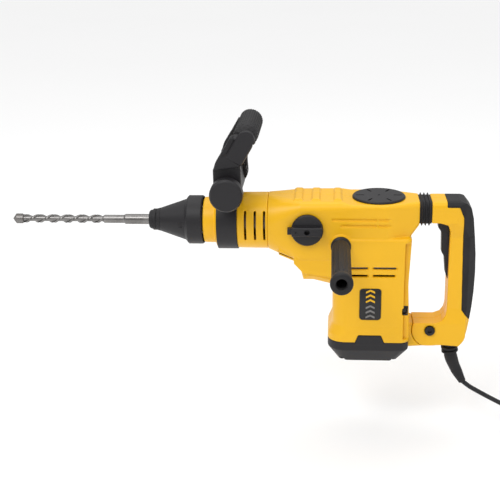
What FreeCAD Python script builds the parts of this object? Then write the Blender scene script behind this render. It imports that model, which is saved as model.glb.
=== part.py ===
import FreeCAD, Part
import math
import os

# Combination demolition hammer: vertical motor, crank-driven air-cushion hammer, sprung rear D-handle,
# swivelling front D-handle on a clamp band, bar handle and a mains lead.
#
# Frame, in millimetres: the origin is the middle of the rear grip, +X points from the bit to the rear
# handle, +Z is up and -Y is the operator's left.

V = FreeCAD.Vector
AXIS_X = V(1, 0, 0)
AXIS_Y = V(0, 1, 0)
AXIS_Z = V(0, 0, 1)

# ---------------------------------------------------------------- driving dimensions
TOOL_Z = 61.5            # height of the tool axis above the origin
MOTOR_X = -142.5         # vertical motor shaft
GEAR_MODULE = 1.0
PINION_TEETH = 12
WHEEL_TEETH = 48
CENTRE_DISTANCE = GEAR_MODULE * (PINION_TEETH + WHEEL_TEETH) / 2 + 0.05
CRANK_X = MOTOR_X + CENTRE_DISTANCE
INTER_X = MOTOR_X - CENTRE_DISTANCE
CROWN_MODULE = 1.25
CROWN_PINION_TEETH = 10
CROWN_TEETH = 48
CROWN_R = CROWN_MODULE * CROWN_TEETH / 2
CROWN_PINION_R = CROWN_MODULE * CROWN_PINION_TEETH / 2
CRANK_RADIUS = 15.0
CONROD_LENGTH = 62.0
CRANK_PIN_R = 6.0
WRIST_R = 4.48

WALL = 3.5               # moulded housing wall
GEAR_HALF = 48.0         # half width of the gear housing
MOTOR_HALF = 51.0        # half width of the motor housing
SPINE_HALF = 43.0        # half width of the narrower spine behind the motor
BOSS_Y = 51.5            # face of the two side handle bosses
INSERT_Y0 = 35.5         # inner end of the threaded side inserts
DIAL_X0 = -92.6          # speed dial
DIAL_X1 = -86.4
DIAL_R = 9.0
DIAL_Y = -34.2
DIAL_Z = -72.8
ARM_HALF = 29.0          # half width at the bellows
TOP_Z = 99.5             # flat top under the grease cap
BASE_SEAM_Z = -125.0
BASE_Z = -163.0

BARREL_R = 44.0
BAND_X0 = -382.0
BAND_X1 = -350.0
BAND_SEAT_R = 42.0
SHELL_FRONT_X = -302.5
NOSE_X0 = -404.0
SHELL_BACK_X = -69.5
BELLOWS_X1 = -50.5

CYL_R = 20.0             # bore of the hammer tube
CYL_OUT_R = 24.0
HOLDER_R = 17.0
SHANK_R = 9.0

PIVOT_X = -46.4          # rear handle pivot
PIVOT_Z = -115.0
PIVOT_SEAM_R = 29.0
LUG_R = 10.0               # fork tongue around the pivot bolt
LUG_SLOT = 10.5            # half height of the tongue's slot above the pivot

SWIVEL_X = -360.0        # front D-handle swivel
SWIVEL_Z = 127.5
BAR_X = -189.3           # side bar handle
BAR_Z = 36.0
KNOB_X = -241.0          # mode selector
CAP_X = -131.0           # grease cap
CAP_R = 41.0

STATOR_R = 42.0
STATOR_BORE_R = 24.5
CORE_Z0 = -78.0          # laminated stack of the motor
CORE_Z1 = -28.0
WHEEL_Z0 = 8.0           # wheels of the first gear stage
WHEEL_Z1 = 20.0
SHAFT_Z0 = -5.4          # lower end of the crankshaft and of the intermediate shaft

BIT_TIP_X = -698.0       # end of the bit's steel, behind the carbide
FLUTE_END_X = -566.0
FLUTE_PITCH = 46.5
FLUTE_CORE_R = 4.2
FLUTE_R = 6.9

BASE_SCREW_X = (-185.0, -104.0)
BASE_SCREW_Y = (-34.0, 34.0)
BASE_SCREW_SEAT_Z = -157.0
# (x, z) of the housing screws, and (x, z, half length) of the handle's screw bosses
SHELL_SCREWS = [(-282.0, 92.0), (-268.0, 20.0), (-216.0, -14.0),
                (-190.0, -60.0), (-190.0, -108.0), (-85.5, 90.0)]
HANDLE_SCREWS = [(-36.0, 78.0, 24.0), (4.0, 62.0, 11.0), (10.0, -60.0, 11.0), (-4.0, -112.0, 19.0)]
HEAD_DEPTH = 7.0         # how far the housing screws' heads are sunk

SADDLE_HALF = 44.0       # half width of the clamp saddle
SWIVEL_BOLT_R = 5.0
D_HALF = 73.0            # half width of the D-handle
D_GAP_HALF = 53.4        # half width of its hand opening
GRIP_X = -331.0          # D-handle grip axis
GRIP_Z = 212.0
GRIP_R = 18.5
GRIP_TUBE_R = 12.0
TILT = math.radians(30.0)    # lean of the D-handle's arms

GRIP_HALF = 20.0         # half width of the rear grip
SKIN_CORE_HALF = 11.0    # half width of the hard core under the rubber
SKIN_DEPTH = 4.0

RUN_FIT = 0.08           # radial running clearance
CORD_D = 7.5
FLOOR_Z = -300.0
GUARD_X = -11.0
GUARD_TOP_Z = -124.0
GUARD_PATH = [(GUARD_X, -143.0), (GUARD_X, -154.0), (-7.5, -172.0), (0.5, -192.0), (12.3, -214.6)]
GUARD_RADII = [13.5, 10.2, 10.6, 9.2, 6.4]
GUARD_RIB_Z = (-146.5, -153.0, -159.5)

# route of the lead from the guard tip to the coil: (x, y, z)
ROUTE = [(12.3, 0.0, -214.6), (22.0, 0.0, -223.5), (38.0, 0.0, -233.0), (62.0, -0.5, -246.5),
         (92.0, -1.0, -262.0), (118.0, -1.5, -276.0), (140.0, -1.5, -288.0), (156.0, -0.8, -295.0),
         (172.0, 0.0, -296.25)]
COIL_X = 170.0
COIL_Y = 50.0
COIL_RADII = (50.0, 42.0, 34.0)      # middles of the turns in one layer
COIL_LAYERS = 4
PLUG_X = 212.0
PLUG_Y0 = 34.0
PLUG_Z = -257.0

os.makedirs("parts", exist_ok=True)


# ---------------------------------------------------------------- helpers
def save(name, shape):
    """Writes one node as a STEP file; several solids go in as a compound."""
    solids = shape.Solids
    if not solids:
        raise RuntimeError(name + " has no solid")
    out = solids[0] if len(solids) == 1 else Part.makeCompound(solids)
    for solid in solids:
        if not solid.isValid():
            print("INVALID", name)
    out.exportStep("parts/" + name + ".step")
    print("%-24s solids %3d  volume %10.1f cm3" % (name, len(solids), out.Volume / 1000))


def box(x0, x1, y0, y1, z0, z1):
    return Part.makeBox(x1 - x0, y1 - y0, z1 - z0, V(x0, y0, z0))


def rod_x(x0, x1, r, y=0.0, z=TOOL_Z):
    return Part.makeCylinder(r, x1 - x0, V(x0, y, z), AXIS_X)


def rod_y(y0, y1, r, x, z):
    return Part.makeCylinder(r, y1 - y0, V(x, y0, z), AXIS_Y)


def rod_z(z0, z1, r, x, y=0.0):
    return Part.makeCylinder(r, z1 - z0, V(x, y, z0), AXIS_Z)


def ring_x(x0, x1, r_out, r_in, y=0.0, z=TOOL_Z):
    return rod_x(x0, x1, r_out, y, z).cut(rod_x(x0 - 1, x1 + 1, r_in, y, z))


def ring_z(z0, z1, r_out, r_in, x, y=0.0):
    return rod_z(z0, z1, r_out, x, y).cut(rod_z(z0 - 1, z1 + 1, r_in, x, y))


def ring_y(y0, y1, r_out, r_in, x, z):
    return rod_y(y0, y1, r_out, x, z).cut(rod_y(y0 - 1, y1 + 1, r_in, x, z))


def polygon(points):
    return Part.Face(Part.makePolygon(points + [points[0]]))


def prism_y(outline, y0, y1):
    """Solid with an (x, z) outline between two Y planes."""
    face = polygon([V(x, y0, z) for x, z in outline])
    return face.extrude(V(0, y1 - y0, 0))


def turned_x(outline, z=TOOL_Z):
    """Solid of revolution about the X-parallel axis at height z, from an (x, r) outline."""
    face = polygon([V(x, 0, z + r) for x, r in outline])
    return face.revolve(V(0, 0, z), AXIS_X, 360)


def turned_z(outline, x, y=0.0):
    """Solid of revolution about a vertical axis, from an (r, z) outline."""
    face = polygon([V(x + r, y, z) for r, z in outline])
    return face.revolve(V(x, y, 0), AXIS_Z, 360)


def turned_y(outline, x, z):
    """Solid of revolution about an axis along Y, from an (r, y) outline."""
    face = polygon([V(x + r, y, z) for r, y in outline])
    return face.revolve(V(x, 0, z), AXIS_Y, 360)


def rounded_wire(place, a0, a1, b0, b1, radii):
    """Rounded rectangle; place(a, b) gives the point, radii run (a1,b1) (a0,b1) (a0,b0) (a1,b0)."""
    corners = [(a1, b1, 0), (a0, b1, 90), (a0, b0, 180), (a1, b0, 270)]
    edges = []
    last = None
    first = None
    for (a, b, start), r in zip(corners, radii):
        sa = -1 if a == a1 else 1
        sb = -1 if b == b1 else 1
        ca = a + sa * r
        cb = b + sb * r
        pts = []
        for k in range(3):
            t = math.radians(start + 45 * k)
            pts.append(place(ca + r * math.cos(t), cb + r * math.sin(t)))
        if last is not None:
            edges.append(Part.LineSegment(last, pts[0]).toShape())
        else:
            first = pts[0]
        edges.append(Part.Arc(pts[0], pts[1], pts[2]).toShape())
        last = pts[2]
    edges.append(Part.LineSegment(last, first).toShape())
    return Part.Wire(edges)


def section_x(x, half, z0, z1, r_top, r_bottom):
    return rounded_wire(lambda a, b: V(x, a, b), -half, half, z0, z1, (r_top, r_top, r_bottom, r_bottom))


def section_z(z, x0, x1, half, r_front, r_back):
    return rounded_wire(lambda a, b: V(a, b, z), x0, x1, -half, half, (r_back, r_front, r_front, r_back))


def loft(wires):
    return Part.makeLoft(wires, True, True)


def soften(shape, radius, pick):
    """Fillets the edges that pick() accepts, or leaves the shape as it is if that can't be done."""
    edges = [e for e in shape.Edges if pick(e)]
    if not edges:
        return shape
    try:
        out = shape.makeFillet(radius, edges)
        if out.isValid() and out.Volume > 0:
            return out
    except Part.OCCError:
        pass
    return shape


def gear_teeth(teeth, module, z0, z1, x, phase):
    """Trapezoid teeth about a vertical axis, slim enough to run clear at every angle."""
    pitch = module * teeth / 2
    root = pitch - 1.25 * module
    tip = pitch + 0.7 * module
    half = math.pi / teeth / 2 * 0.82
    solids = []
    for k in range(teeth):
        middle = phase + 2 * math.pi * k / teeth
        pts = []
        for r, w in ((root, 1.55), (pitch, 1.0), (tip, 0.45)):
            pts.append((r, middle - half * w))
        for r, w in ((tip, 0.45), (pitch, 1.0), (root, 1.55)):
            pts.append((r, middle + half * w))
        face = polygon([V(x + r * math.cos(a), r * math.sin(a), z0) for r, a in pts])
        solids.append(face.extrude(V(0, 0, z1 - z0)))
    return solids


def spur(teeth, module, z0, z1, x, phase, bore):
    """Spur gear about a vertical axis, with a bore unless it is zero."""
    pitch = module * teeth / 2
    body = rod_z(z0, z1, pitch - 1.15 * module, x)
    body = body.multiFuse(gear_teeth(teeth, module, z0, z1, x, phase))
    if bore:
        body = body.cut(rod_z(z0 - 1, z1 + 1, bore, x))
    return body


def screw_y(x, z, head_y, length, r_head=4.0, r_shank=2.0, sign=-1):
    """Pan-head screw with a hex socket; it points along sign * Y from under its head."""
    head = rod_y(0, 3.0, r_head, 0, 0).cut(rod_y(1.4, 3.5, r_head * 0.45, 0, 0))
    shank = rod_y(-length, 0.0, r_shank, 0, 0)
    body = head.fuse(shank)
    if sign > 0:
        body.rotate(V(0, 0, 0), AXIS_X, 180)
    body.translate(V(x, head_y, z))
    return body


def screw_z(x, y, head_z, length, r_head=4.0, r_shank=2.0):
    """Screw whose head faces down and whose shank runs up."""
    head = rod_z(-3.0, 0.0, r_head, 0).cut(rod_z(-3.5, -1.6, r_head * 0.45, 0))
    body = head.fuse(rod_z(0.0, length, r_shank, 0))
    body.translate(V(x, y, head_z))
    return body


# ---------------------------------------------------------------- main housing
def upper_outer(inset=0.0, front=SHELL_FRONT_X, back=SHELL_BACK_X):
    """Gear housing outside: round at the barrel seam, boxy over the gears, slim at the bellows."""
    g = inset
    stations = [
        (front, BARREL_R + 0.5, 17.0, 106.0, 43.5, 43.5),
        (-272.0, 46.5, 6.0, 104.0, 26.0, 34.0),
        (-252.0, GEAR_HALF, -1.0, 103.0, 14.0, 22.0),
        (-188.0, GEAR_HALF, -1.0, 103.0, 12.0, 20.0),
        (-174.0, GEAR_HALF, -1.0, TOP_Z, 6.0, 20.0),
        (-118.0, GEAR_HALF, -1.0, TOP_Z, 6.0, 20.0),
        (-92.0, 38.0, 30.0, TOP_Z, 8.0, 12.0),
        (back, ARM_HALF, 61.0, TOP_Z, 9.0, 9.0),
    ]
    wires = []
    for x, half, z0, z1, rt, rb in stations:
        wires.append(section_x(x, half - g, z0 + g, z1 - g, max(rt - g, 2.0), max(rb - g, 2.0)))
    return loft(wires)


def motor_outer(inset=0.0):
    """Motor housing outside, from the base cap's seam up into the gear housing."""
    g = inset
    top = 47.0 - g
    stations = [
        (BASE_SEAM_Z, -208.5, -80.5, MOTOR_HALF + 1.0, 26.0, 14.0),
        (-114.0, -208.0, -80.5, MOTOR_HALF + 1.0, 26.0, 14.0),
        (-98.0, -201.5, -80.5, MOTOR_HALF, 24.0, 14.0),
        (-34.0, -201.5, -83.5, MOTOR_HALF, 24.0, 12.0),
        (-24.0, -201.5, -83.5, MOTOR_HALF, 24.0, 12.0),
        (top - 3.0, -201.5, -80.5, MOTOR_HALF, 24.0, 12.0),
        (top, -198.5, -84.0, GEAR_HALF, 22.0, 10.0),
    ]
    wires = []
    for z, x0, x1, half, rf, rb in stations:
        wires.append(section_z(z, x0 + g, x1 - g, half - g, rf - g, rb - g))
    return loft(wires)


def chin(inset=0.0):
    """Sloping underside ahead of the motor, down to the motor's front wall."""
    g = inset
    half = GEAR_HALF - 8.0 - g
    outline = [(-286.0, 14.0 + g), (-254.0 + g, 0.0 + g), (-247.5 + g, -26.5 + g), (-231.5, -26.5 + g),
               (-195.0, -35.5 + g), (-195.0, 40.0), (-286.0, 40.0)]
    body = prism_y(outline, -half, half)
    low = [e for e in body.Edges if abs(abs(e.CenterOfMass.y) - half) < 0.1
           and e.CenterOfMass.z < 8.0 and e.CenterOfMass.x < -200.0]
    return body.makeChamfer(9.0 - g * (2.0 - math.sqrt(2.0)), low)


def cheeks():
    """Wider block on each side of the sloping underside."""
    outline = [(-262.0, 4.0), (-247.0, -12.0), (-196.0, -20.0), (-196.0, 40.0), (-262.0, 40.0)]
    return prism_y(outline, -(GEAR_HALF - 3.0), GEAR_HALF - 3.0)


def spine_relief():
    """Cuts that narrow the rear spine of the motor housing below the gear housing."""
    cutters = []
    for side in (-1, 1):
        outline = [V(-92.5, side * SPINE_HALF, -120.0), V(-89.0, side * (MOTOR_HALF + 6), -120.0),
                   V(-60.0, side * (MOTOR_HALF + 6), -120.0), V(-60.0, side * SPINE_HALF, -120.0)]
        cutters.append(polygon(outline).extrude(V(0, 0, 160.0)))
    return cutters


def lower_stub():
    """Arm stub under the hand opening, up to the arc seam around the handle pivot."""
    outline = [(-100.0, -103.0), (PIVOT_X, -103.0), (PIVOT_X, -142.5), (-100.0, -146.5)]
    body = prism_y(outline, -24.0, 24.0)
    body = soften(body, 6.0, lambda e: abs(abs(e.CenterOfMass.y) - 24.0) < 0.1 and e.Length > 20)
    body = body.cut(box(-110.0, -80.6, -40.0, 40.0, -160.0, BASE_SEAM_Z))
    return body.cut(rod_y(-40, 40, PIVOT_SEAM_R + 0.4, PIVOT_X, PIVOT_Z))


def pivot_lug():
    """Fork tongue that carries the housing on the handle's pivot bolt."""
    lug = rod_y(-11.0, 11.0, LUG_R, PIVOT_X, PIVOT_Z)
    lug = lug.fuse(box(-96.0, PIVOT_X, -11.0, 11.0, PIVOT_Z - 9.9, PIVOT_Z + LUG_R - 2.5))
    return lug.cut(rod_y(-20.0, 20.0, 6.0 + RUN_FIT, PIVOT_X, PIVOT_Z))


def main_outer():
    """Outside of both housing halves, before the details."""
    return upper_outer().fuse(motor_outer()).fuse(chin()).fuse(cheeks())


def main_shell():
    """Hollow housing in one piece, before it is split into its two halves."""
    outer = main_outer()
    pads = []
    for x0, x1 in ((-262.0, -248.0), (-235.0, -221.0), (-201.0, -188.0)):
        pad = box(x0, x1, -34.0, 34.0, 98.0, 106.0)
        pad = pad.makeChamfer(2.4, [e for e in pad.Edges if e.CenterOfMass.z > 105.9])
        pads.append(pad)
    outer = outer.multiFuse(pads)
    outer = outer.fuse(lower_stub()).cut(Part.makeCompound(spine_relief()))
    inner = upper_outer(WALL, SHELL_FRONT_X - 1.0, SHELL_BACK_X - WALL).fuse(motor_outer(WALL)).fuse(chin(WALL))
    keep = box(-90.5, -60.0, -60.0, 60.0, -130.0, 53.0)
    inner = inner.cut(keep)
    inner = inner.fuse(box(-100.0, -84.5, -SPINE_HALF + WALL + 6, SPINE_HALF - WALL - 6, -110.0, 44.0))
    shell = outer.cut(inner)
    shell = shell.fuse(pivot_lug().cut(rod_y(-40, 40, PIVOT_SEAM_R + 0.4, PIVOT_X, PIVOT_Z)).cut(inner))
    tongue = pivot_lug().common(box(-76.0, 0.0, -30.0, 30.0, -160.0, -80.0))
    shell = shell.fuse(tongue)
    # front seat ring for the barrel
    seat = ring_x(SHELL_FRONT_X, -296.0, BARREL_R - 1.5, 36.0)
    shell = shell.fuse(seat.common(upper_outer()))
    # side bosses, selector bore, screw bosses
    for side in (-1, 1):
        y0, y1 = sorted((side * INSERT_Y0, side * BOSS_Y))
        shell = shell.fuse(rod_y(y0, y1, 17.0, BAR_X, BAR_Z))
        shell = shell.cut(rod_y(min(y0, y1) - 1, max(y0, y1) + 1, 11.0, BAR_X, BAR_Z))
    shell = shell.cut(rod_y(-60.0, -30.0, 9.0, KNOB_X, TOOL_Z))
    shell = shell.cut(rod_z(90.0, 110.0, CAP_R - 5.0, CAP_X))
    # bellows collar
    collar = loft([section_x(SHELL_BACK_X - WALL, ARM_HALF - 4.0, 66.0, TOP_Z - 4.5, 6.0, 6.0),
                   section_x(SHELL_BACK_X + 4.0, ARM_HALF - 4.0, 66.0, TOP_Z - 4.5, 6.0, 6.0)])
    hole = loft([section_x(SHELL_BACK_X - WALL - 1, ARM_HALF - 7.0, 69.0, TOP_Z - 7.5, 4.0, 4.0),
                 section_x(SHELL_BACK_X + 5.0, ARM_HALF - 7.0, 69.0, TOP_Z - 7.5, 4.0, 4.0)])
    shell = shell.fuse(collar).cut(hole)
    return cut_side_features(shell)


def cut_side_features(shell):
    """Styling grooves, cooling slots, nameplate recess and dial window."""
    cutters = []
    for side in (-1, 1):
        y_face = side * GEAR_HALF
        # shallow styling grooves on the gear housing
        for z, x0 in ((76.5, -203.0), (67.0, -190.0)):
            for a, b in ((x0, -135.0), (-133.0, -112.0)):
                ya, yb = sorted((y_face - side * 2.2, y_face + side * 2.0))
                cutters.append(box(a, b, ya, yb, z - 2.0, z + 2.0))
        # cooling slots into the motor housing
        y_face = side * MOTOR_HALF
        for z, x1 in ((-0.5, -102.0), (-13.0, -104.0)):
            for a, b in ((-176.0, -145.8), (-140.7, x1)):
                ya, yb = sorted((y_face - side * 2.2, y_face + side * 2.0))
                cutters.append(box(a, b, ya, yb, z - 2.2, z + 2.2))
                ya, yb = sorted((y_face - side * 7.0, y_face))
                cutters.append(box(a + 2.0, b - 2.0, ya, yb, z - 1.4, z + 1.4))
    # nameplate recess and dial window on the left
    cutters.append(nameplate_solid(0.15, 0.0))
    cutters.append(box(DIAL_X0 - 1.0, DIAL_X1 + 1.0, -SPINE_HALF - 12.0, DIAL_Y, DIAL_Z - 5.8, DIAL_Z + 5.8))
    pocket = rod_x(DIAL_X0 - 1.0, DIAL_X1 + 1.0, DIAL_R + 0.6, DIAL_Y, DIAL_Z)
    cutters.append(pocket.common(box(-100.0, -80.0, -SPINE_HALF + 1.8, 0.0, -100.0, -50.0)))
    return shell.cut(cutters[0].multiFuse(cutters[1:]))


def nameplate_solid(grow, proud):
    """Nameplate standing proud of the left wall or, grown, the cutter of its recess."""
    wire = rounded_wire(lambda a, b: V(a, -MOTOR_HALF + 1.6, b), -159.2 - grow, -126.0 + grow,
                        -86.0 - grow, -34.0 + grow, (5.0, 5.0, 5.0, 5.0))
    depth = 1.6 + (2.0 if grow else proud)
    return Part.Face(wire).extrude(V(0, -depth, 0))


def split_sides(shape):
    """Left and right half of a moulding, parted on the middle plane."""
    left = shape.common(box(-500, 100, -120, 0, -200, 200))
    right = shape.common(box(-500, 100, 0, 120, -200, 200))
    return left, right


def surface_y(solid, x, z):
    """Largest y of the solid on the line through (x, z)."""
    line = Part.makeLine(V(x, 0, z), V(x, 120.0, z))
    return line.common(solid).BoundBox.YMax


def base_cap_outer(inset=0.0):
    """Tapering cap under the motor housing."""
    g = inset
    low = BASE_Z + g
    wires = [section_z(low, -191.0 + g, -98.0 - g, 37.0 - g, 14.0, 12.0),
             section_z(-138.5 + g * 0.4, -208.5 + g, -81.0 - g, MOTOR_HALF + 1.0 - g, 26.0 - g, 14.0 - g),
             section_z(BASE_SEAM_Z, -208.5 + g, -81.0 - g, MOTOR_HALF + 1.0 - g, 26.0 - g, 14.0 - g)]
    return loft(wires)


def tab_solid(grow=0.0):
    """Trapezoid tab of the base cap that laps up over each side of the motor housing."""
    tabs = []
    outline = [(-167.0 - grow, BASE_SEAM_Z - 4.0), (-160.5 - grow, -113.0 + grow),
               (-125.0 + grow, -113.0 + grow), (-118.5 + grow, BASE_SEAM_Z - 4.0)]
    for side in (-1, 1):
        y0, y1 = sorted((side * (MOTOR_HALF - 1.2), side * (MOTOR_HALF + 3.0)))
        tabs.append(prism_y(outline, y0, y1))
    return tabs


def base_cap():
    """Cap with its side tabs, screw towers and the seat of the lower motor bearing."""
    cap = base_cap_outer().cut(base_cap_outer(WALL))
    envelope = loft([section_z(BASE_SEAM_Z - 5.0, -208.5, -81.0, MOTOR_HALF + 1.6, 26.0, 14.0),
                     section_z(-110.0, -208.5, -81.0, MOTOR_HALF + 1.6, 26.0, 14.0)])
    for tab in tab_solid():
        cap = cap.fuse(tab.common(envelope))
    for x in BASE_SCREW_X:
        for y in BASE_SCREW_Y:
            cap = cap.fuse(rod_z(-162.0, BASE_SEAM_Z, 6.5, x, y).common(base_cap_outer()))
            cap = cap.cut(rod_z(-170.0, BASE_SCREW_SEAT_Z, 4.6, x, y)).cut(rod_z(-160.0, -120.0, 2.05, x, y))
    web = box(-200.0, -88.0, -2.5, 2.5, -159.0, -134.0)
    tower = rod_z(-159.0, -121.5, 13.0, MOTOR_X).fuse(web)
    cap = cap.fuse(tower.common(base_cap_outer(1.0).fuse(rod_z(-130.0, -121.0, 13.0, MOTOR_X))))
    return cap.cut(rod_z(-129.05, -118.0, 9.5, MOTOR_X)).cut(rod_z(-133.0, -128.0, 6.0, MOTOR_X))


# ---------------------------------------------------------------- build: main body
def build_main():
    """Housing halves with their screws, base cap, grease cap, nameplate, barrel and gear plate."""
    shell = main_shell()
    shell = shell.cut(Part.makeCompound(tab_solid(0.3)))
    outer = main_outer()
    screws = []
    for x, z in SHELL_SCREWS:
        face_y = surface_y(outer, x, z)
        shell = shell.fuse(rod_y(-60.0, 60.0, 5.2, x, z).common(outer))
        seat_y = face_y - HEAD_DEPTH
        shell = shell.cut(rod_y(-seat_y, 60.0, 2.05, x, z)).cut(rod_y(seat_y, 60.0, 4.2, x, z))
        screws.append(screw_y(x, z, seat_y, 2 * seat_y - 2.0))
    for x in BASE_SCREW_X:
        for y in BASE_SCREW_Y:
            outward = 1 if y > 0 else -1
            y0, y1 = sorted((y, outward * (MOTOR_HALF - 1.0)))
            shell = shell.fuse(rod_z(BASE_SEAM_Z, -113.0, 6.0, x, y))
            shell = shell.fuse(box(x - 2.0, x + 2.0, y0, y1, BASE_SEAM_Z, -113.0))
            shell = shell.cut(rod_z(BASE_SEAM_Z - 1, -115.0, 2.05, x, y))
    left, right = split_sides(shell)
    save("main_shell_left", left)
    save("main_shell_right", right)
    for x in BASE_SCREW_X:
        for y in BASE_SCREW_Y:
            screws.append(screw_z(x, y, BASE_SCREW_SEAT_Z, 40.0))
    save("housing_screws", Part.makeCompound(screws))
    save("base_cap", base_cap())
    build_grease_cap()
    save("nameplate", nameplate_solid(0.0, 0.6))
    build_barrel()
    build_plate_and_bearings()


def build_grease_cap():
    """Round cap on top with six key slots."""
    disc = turned_z([(0, TOP_Z + 0.05), (CAP_R, TOP_Z + 0.05), (CAP_R, TOP_Z + 2.0), (CAP_R - 1.4, TOP_Z + 3.6),
                     (0, TOP_Z + 3.6)], CAP_X)
    skirt = ring_z(TOP_Z - 9.0, TOP_Z + 0.05, CAP_R - 5.2, CAP_R - 9.0, CAP_X)
    cap = disc.fuse(skirt)
    for k in range(6):
        slot = box(0.55 * CAP_R, 0.86 * CAP_R, -1.5, 1.5, TOP_Z + 1.6, TOP_Z + 5.0)
        slot.translate(V(CAP_X, 0, 0))
        slot.rotate(V(CAP_X, 0, 0), AXIS_Z, 60.0 * k)
        cap = cap.cut(slot)
    cap = cap.cut(rod_z(TOP_Z + 2.6, TOP_Z + 5.0, 2.0, CAP_X))
    save("grease_cap", cap)


def build_barrel():
    """Front barrel with the clamp seat, the nose ring and three cooling slots on each side."""
    outline = [(NOSE_X0, 30.2), (NOSE_X0, 35.0), (NOSE_X0 + 1.2, 36.0), (-385.5, 36.3), (BAND_X0 - 0.6, 44.0),
               (BAND_X0 - 0.1, 44.0), (BAND_X0 - 0.1, BAND_SEAT_R), (BAND_X1 + 0.1, BAND_SEAT_R),
               (BAND_X1 + 0.1, BARREL_R), (SHELL_FRONT_X - 0.05, BARREL_R + 0.5),
               (SHELL_FRONT_X - 0.05, BARREL_R - 4.0), (-345.0, 37.5), (-380.0, 37.5), (-381.5, 30.2)]
    barrel = turned_x(outline)
    for x in (-337.0, -321.9, -307.5):
        for side in (-1, 1):
            y0, y1 = sorted((side * 24.0, side * 50.0))
            barrel = barrel.cut(box(x - 1.7, x + 1.7, y0, y1, TOOL_Z - 21.0, TOOL_Z + 25.0))
    save("front_barrel", barrel)
    bearing = ring_x(-396.0, -384.0, 30.1, CYL_OUT_R + RUN_FIT)
    bush = ring_x(-300.0, -290.0, 35.9, CYL_OUT_R + RUN_FIT)
    save("spindle_bearings", Part.makeCompound([bearing, bush]))


def build_plate_and_bearings():
    """Plate between the motor and the gears, which seats the three vertical shafts' bearings."""
    half = GEAR_HALF - WALL - 0.6
    plate = loft([section_z(-9.0, -197.2, -90.8, half, 20.0, 8.0),
                  section_z(4.0, -197.2, -90.8, half, 20.0, 8.0)])
    seats = ((MOTOR_X, 13.0, 5.6), (CRANK_X, 13.0, 7.6), (INTER_X, 11.0, 5.6))
    for x, seat, pass_r in seats:
        plate = plate.cut(rod_z(-5.5, 6.0, seat, x)).cut(rod_z(-12.0, 6.0, pass_r, x))
    save("gear_plate", plate)
    bearings = [ring_z(-5.5, 4.0, 12.98, 5.0 + RUN_FIT, MOTOR_X),
                ring_z(-5.5, 4.0, 12.98, 7.0 + RUN_FIT, CRANK_X),
                ring_z(-5.5, 4.0, 10.98, 5.0 + RUN_FIT, INTER_X),
                ring_z(-129.0, -121.0, 9.48, 4.0 + RUN_FIT, MOTOR_X)]
    save("shaft_bearings", Part.makeCompound(bearings))


# ---------------------------------------------------------------- build: motor
def build_motor():
    """Universal motor: stator, field coils, brush gear, armature, commutator and fan."""
    core = ring_z(CORE_Z0, CORE_Z1, STATOR_R, STATOR_BORE_R, MOTOR_X)
    core = core.cut(box(MOTOR_X - 50, MOTOR_X + 50, 37.0, 60.0, -90.0, 0.0))
    core = core.cut(box(MOTOR_X - 50, MOTOR_X + 50, -60.0, -37.0, -90.0, 0.0))
    save("stator_core", core)
    coils = []
    for z0, z1 in ((-90.0, CORE_Z0 - 0.1), (CORE_Z1 + 0.1, -20.0)):
        for side in (-1, 1):
            ring = ring_z(z0, z1, 39.0, 27.0, MOTOR_X)
            y0, y1 = sorted((side * 6.0, side * 60.0))
            coils.append(ring.common(box(MOTOR_X - 50, MOTOR_X + 50, y0, y1, z0 - 1, z1 + 1)))
    save("field_coils", Part.makeCompound(coils))
    holders = []
    brushes = []
    for side in (-1, 1):
        y0, y1 = sorted((side * 17.0, side * 44.0))
        holder = box(MOTOR_X - 8, MOTOR_X + 8, y0, y1, -112.0, -98.0)
        y2, y3 = sorted((side * 16.0, side * 46.0))
        holder = holder.cut(box(MOTOR_X - 4.1, MOTOR_X + 4.1, y2, y3, -109.1, -100.9))
        holders.append(holder)
        y4, y5 = sorted((side * 15.2, side * 34.0))
        brushes.append(box(MOTOR_X - 4, MOTOR_X + 4, y4, y5, -109.0, -101.0))
    save("brush_gear", Part.makeCompound(holders + brushes))
    # armature
    shaft = rod_z(-129.5, 7.0, 4.0, MOTOR_X).fuse(rod_z(-118.0, 7.0, 5.0, MOTOR_X))
    teeth = gear_teeth(PINION_TEETH, GEAR_MODULE, 7.0, 21.0, MOTOR_X, 0.0)
    shaft = shaft.fuse(rod_z(7.0, 21.0, 4.9, MOTOR_X)).multiFuse(teeth)
    save("armature_shaft", shaft)
    lamination = ring_z(CORE_Z0, CORE_Z1, STATOR_BORE_R - 0.5, 5.0, MOTOR_X)
    for k in range(12):
        slot = box(19.0, 26.0, -1.6, 1.6, -80.0, -20.0)
        slot.rotate(V(0, 0, 0), AXIS_Z, 30.0 * k)
        slot.translate(V(MOTOR_X, 0, 0))
        lamination = lamination.cut(slot)
    windings = ring_z(-88.0, -20.0, 22.0, 5.0, MOTOR_X)
    save("armature_core", lamination.fuse(windings))
    save("commutator", ring_z(-115.0, -96.0, 15.0, 5.0, MOTOR_X))
    fan = ring_z(-18.5, -16.5, 38.0, 5.0, MOTOR_X).fuse(ring_z(-18.5, -10.5, 12.0, 5.0, MOTOR_X))
    for k in range(11):
        blade = box(10.0, 37.5, -0.9, 0.9, -17.0, -10.5)
        blade.rotate(V(0, 0, 0), AXIS_Z, 360.0 / 11 * k)
        blade.translate(V(MOTOR_X, 0, 0))
        fan = fan.fuse(blade)
    save("cooling_fan", fan)


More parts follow.
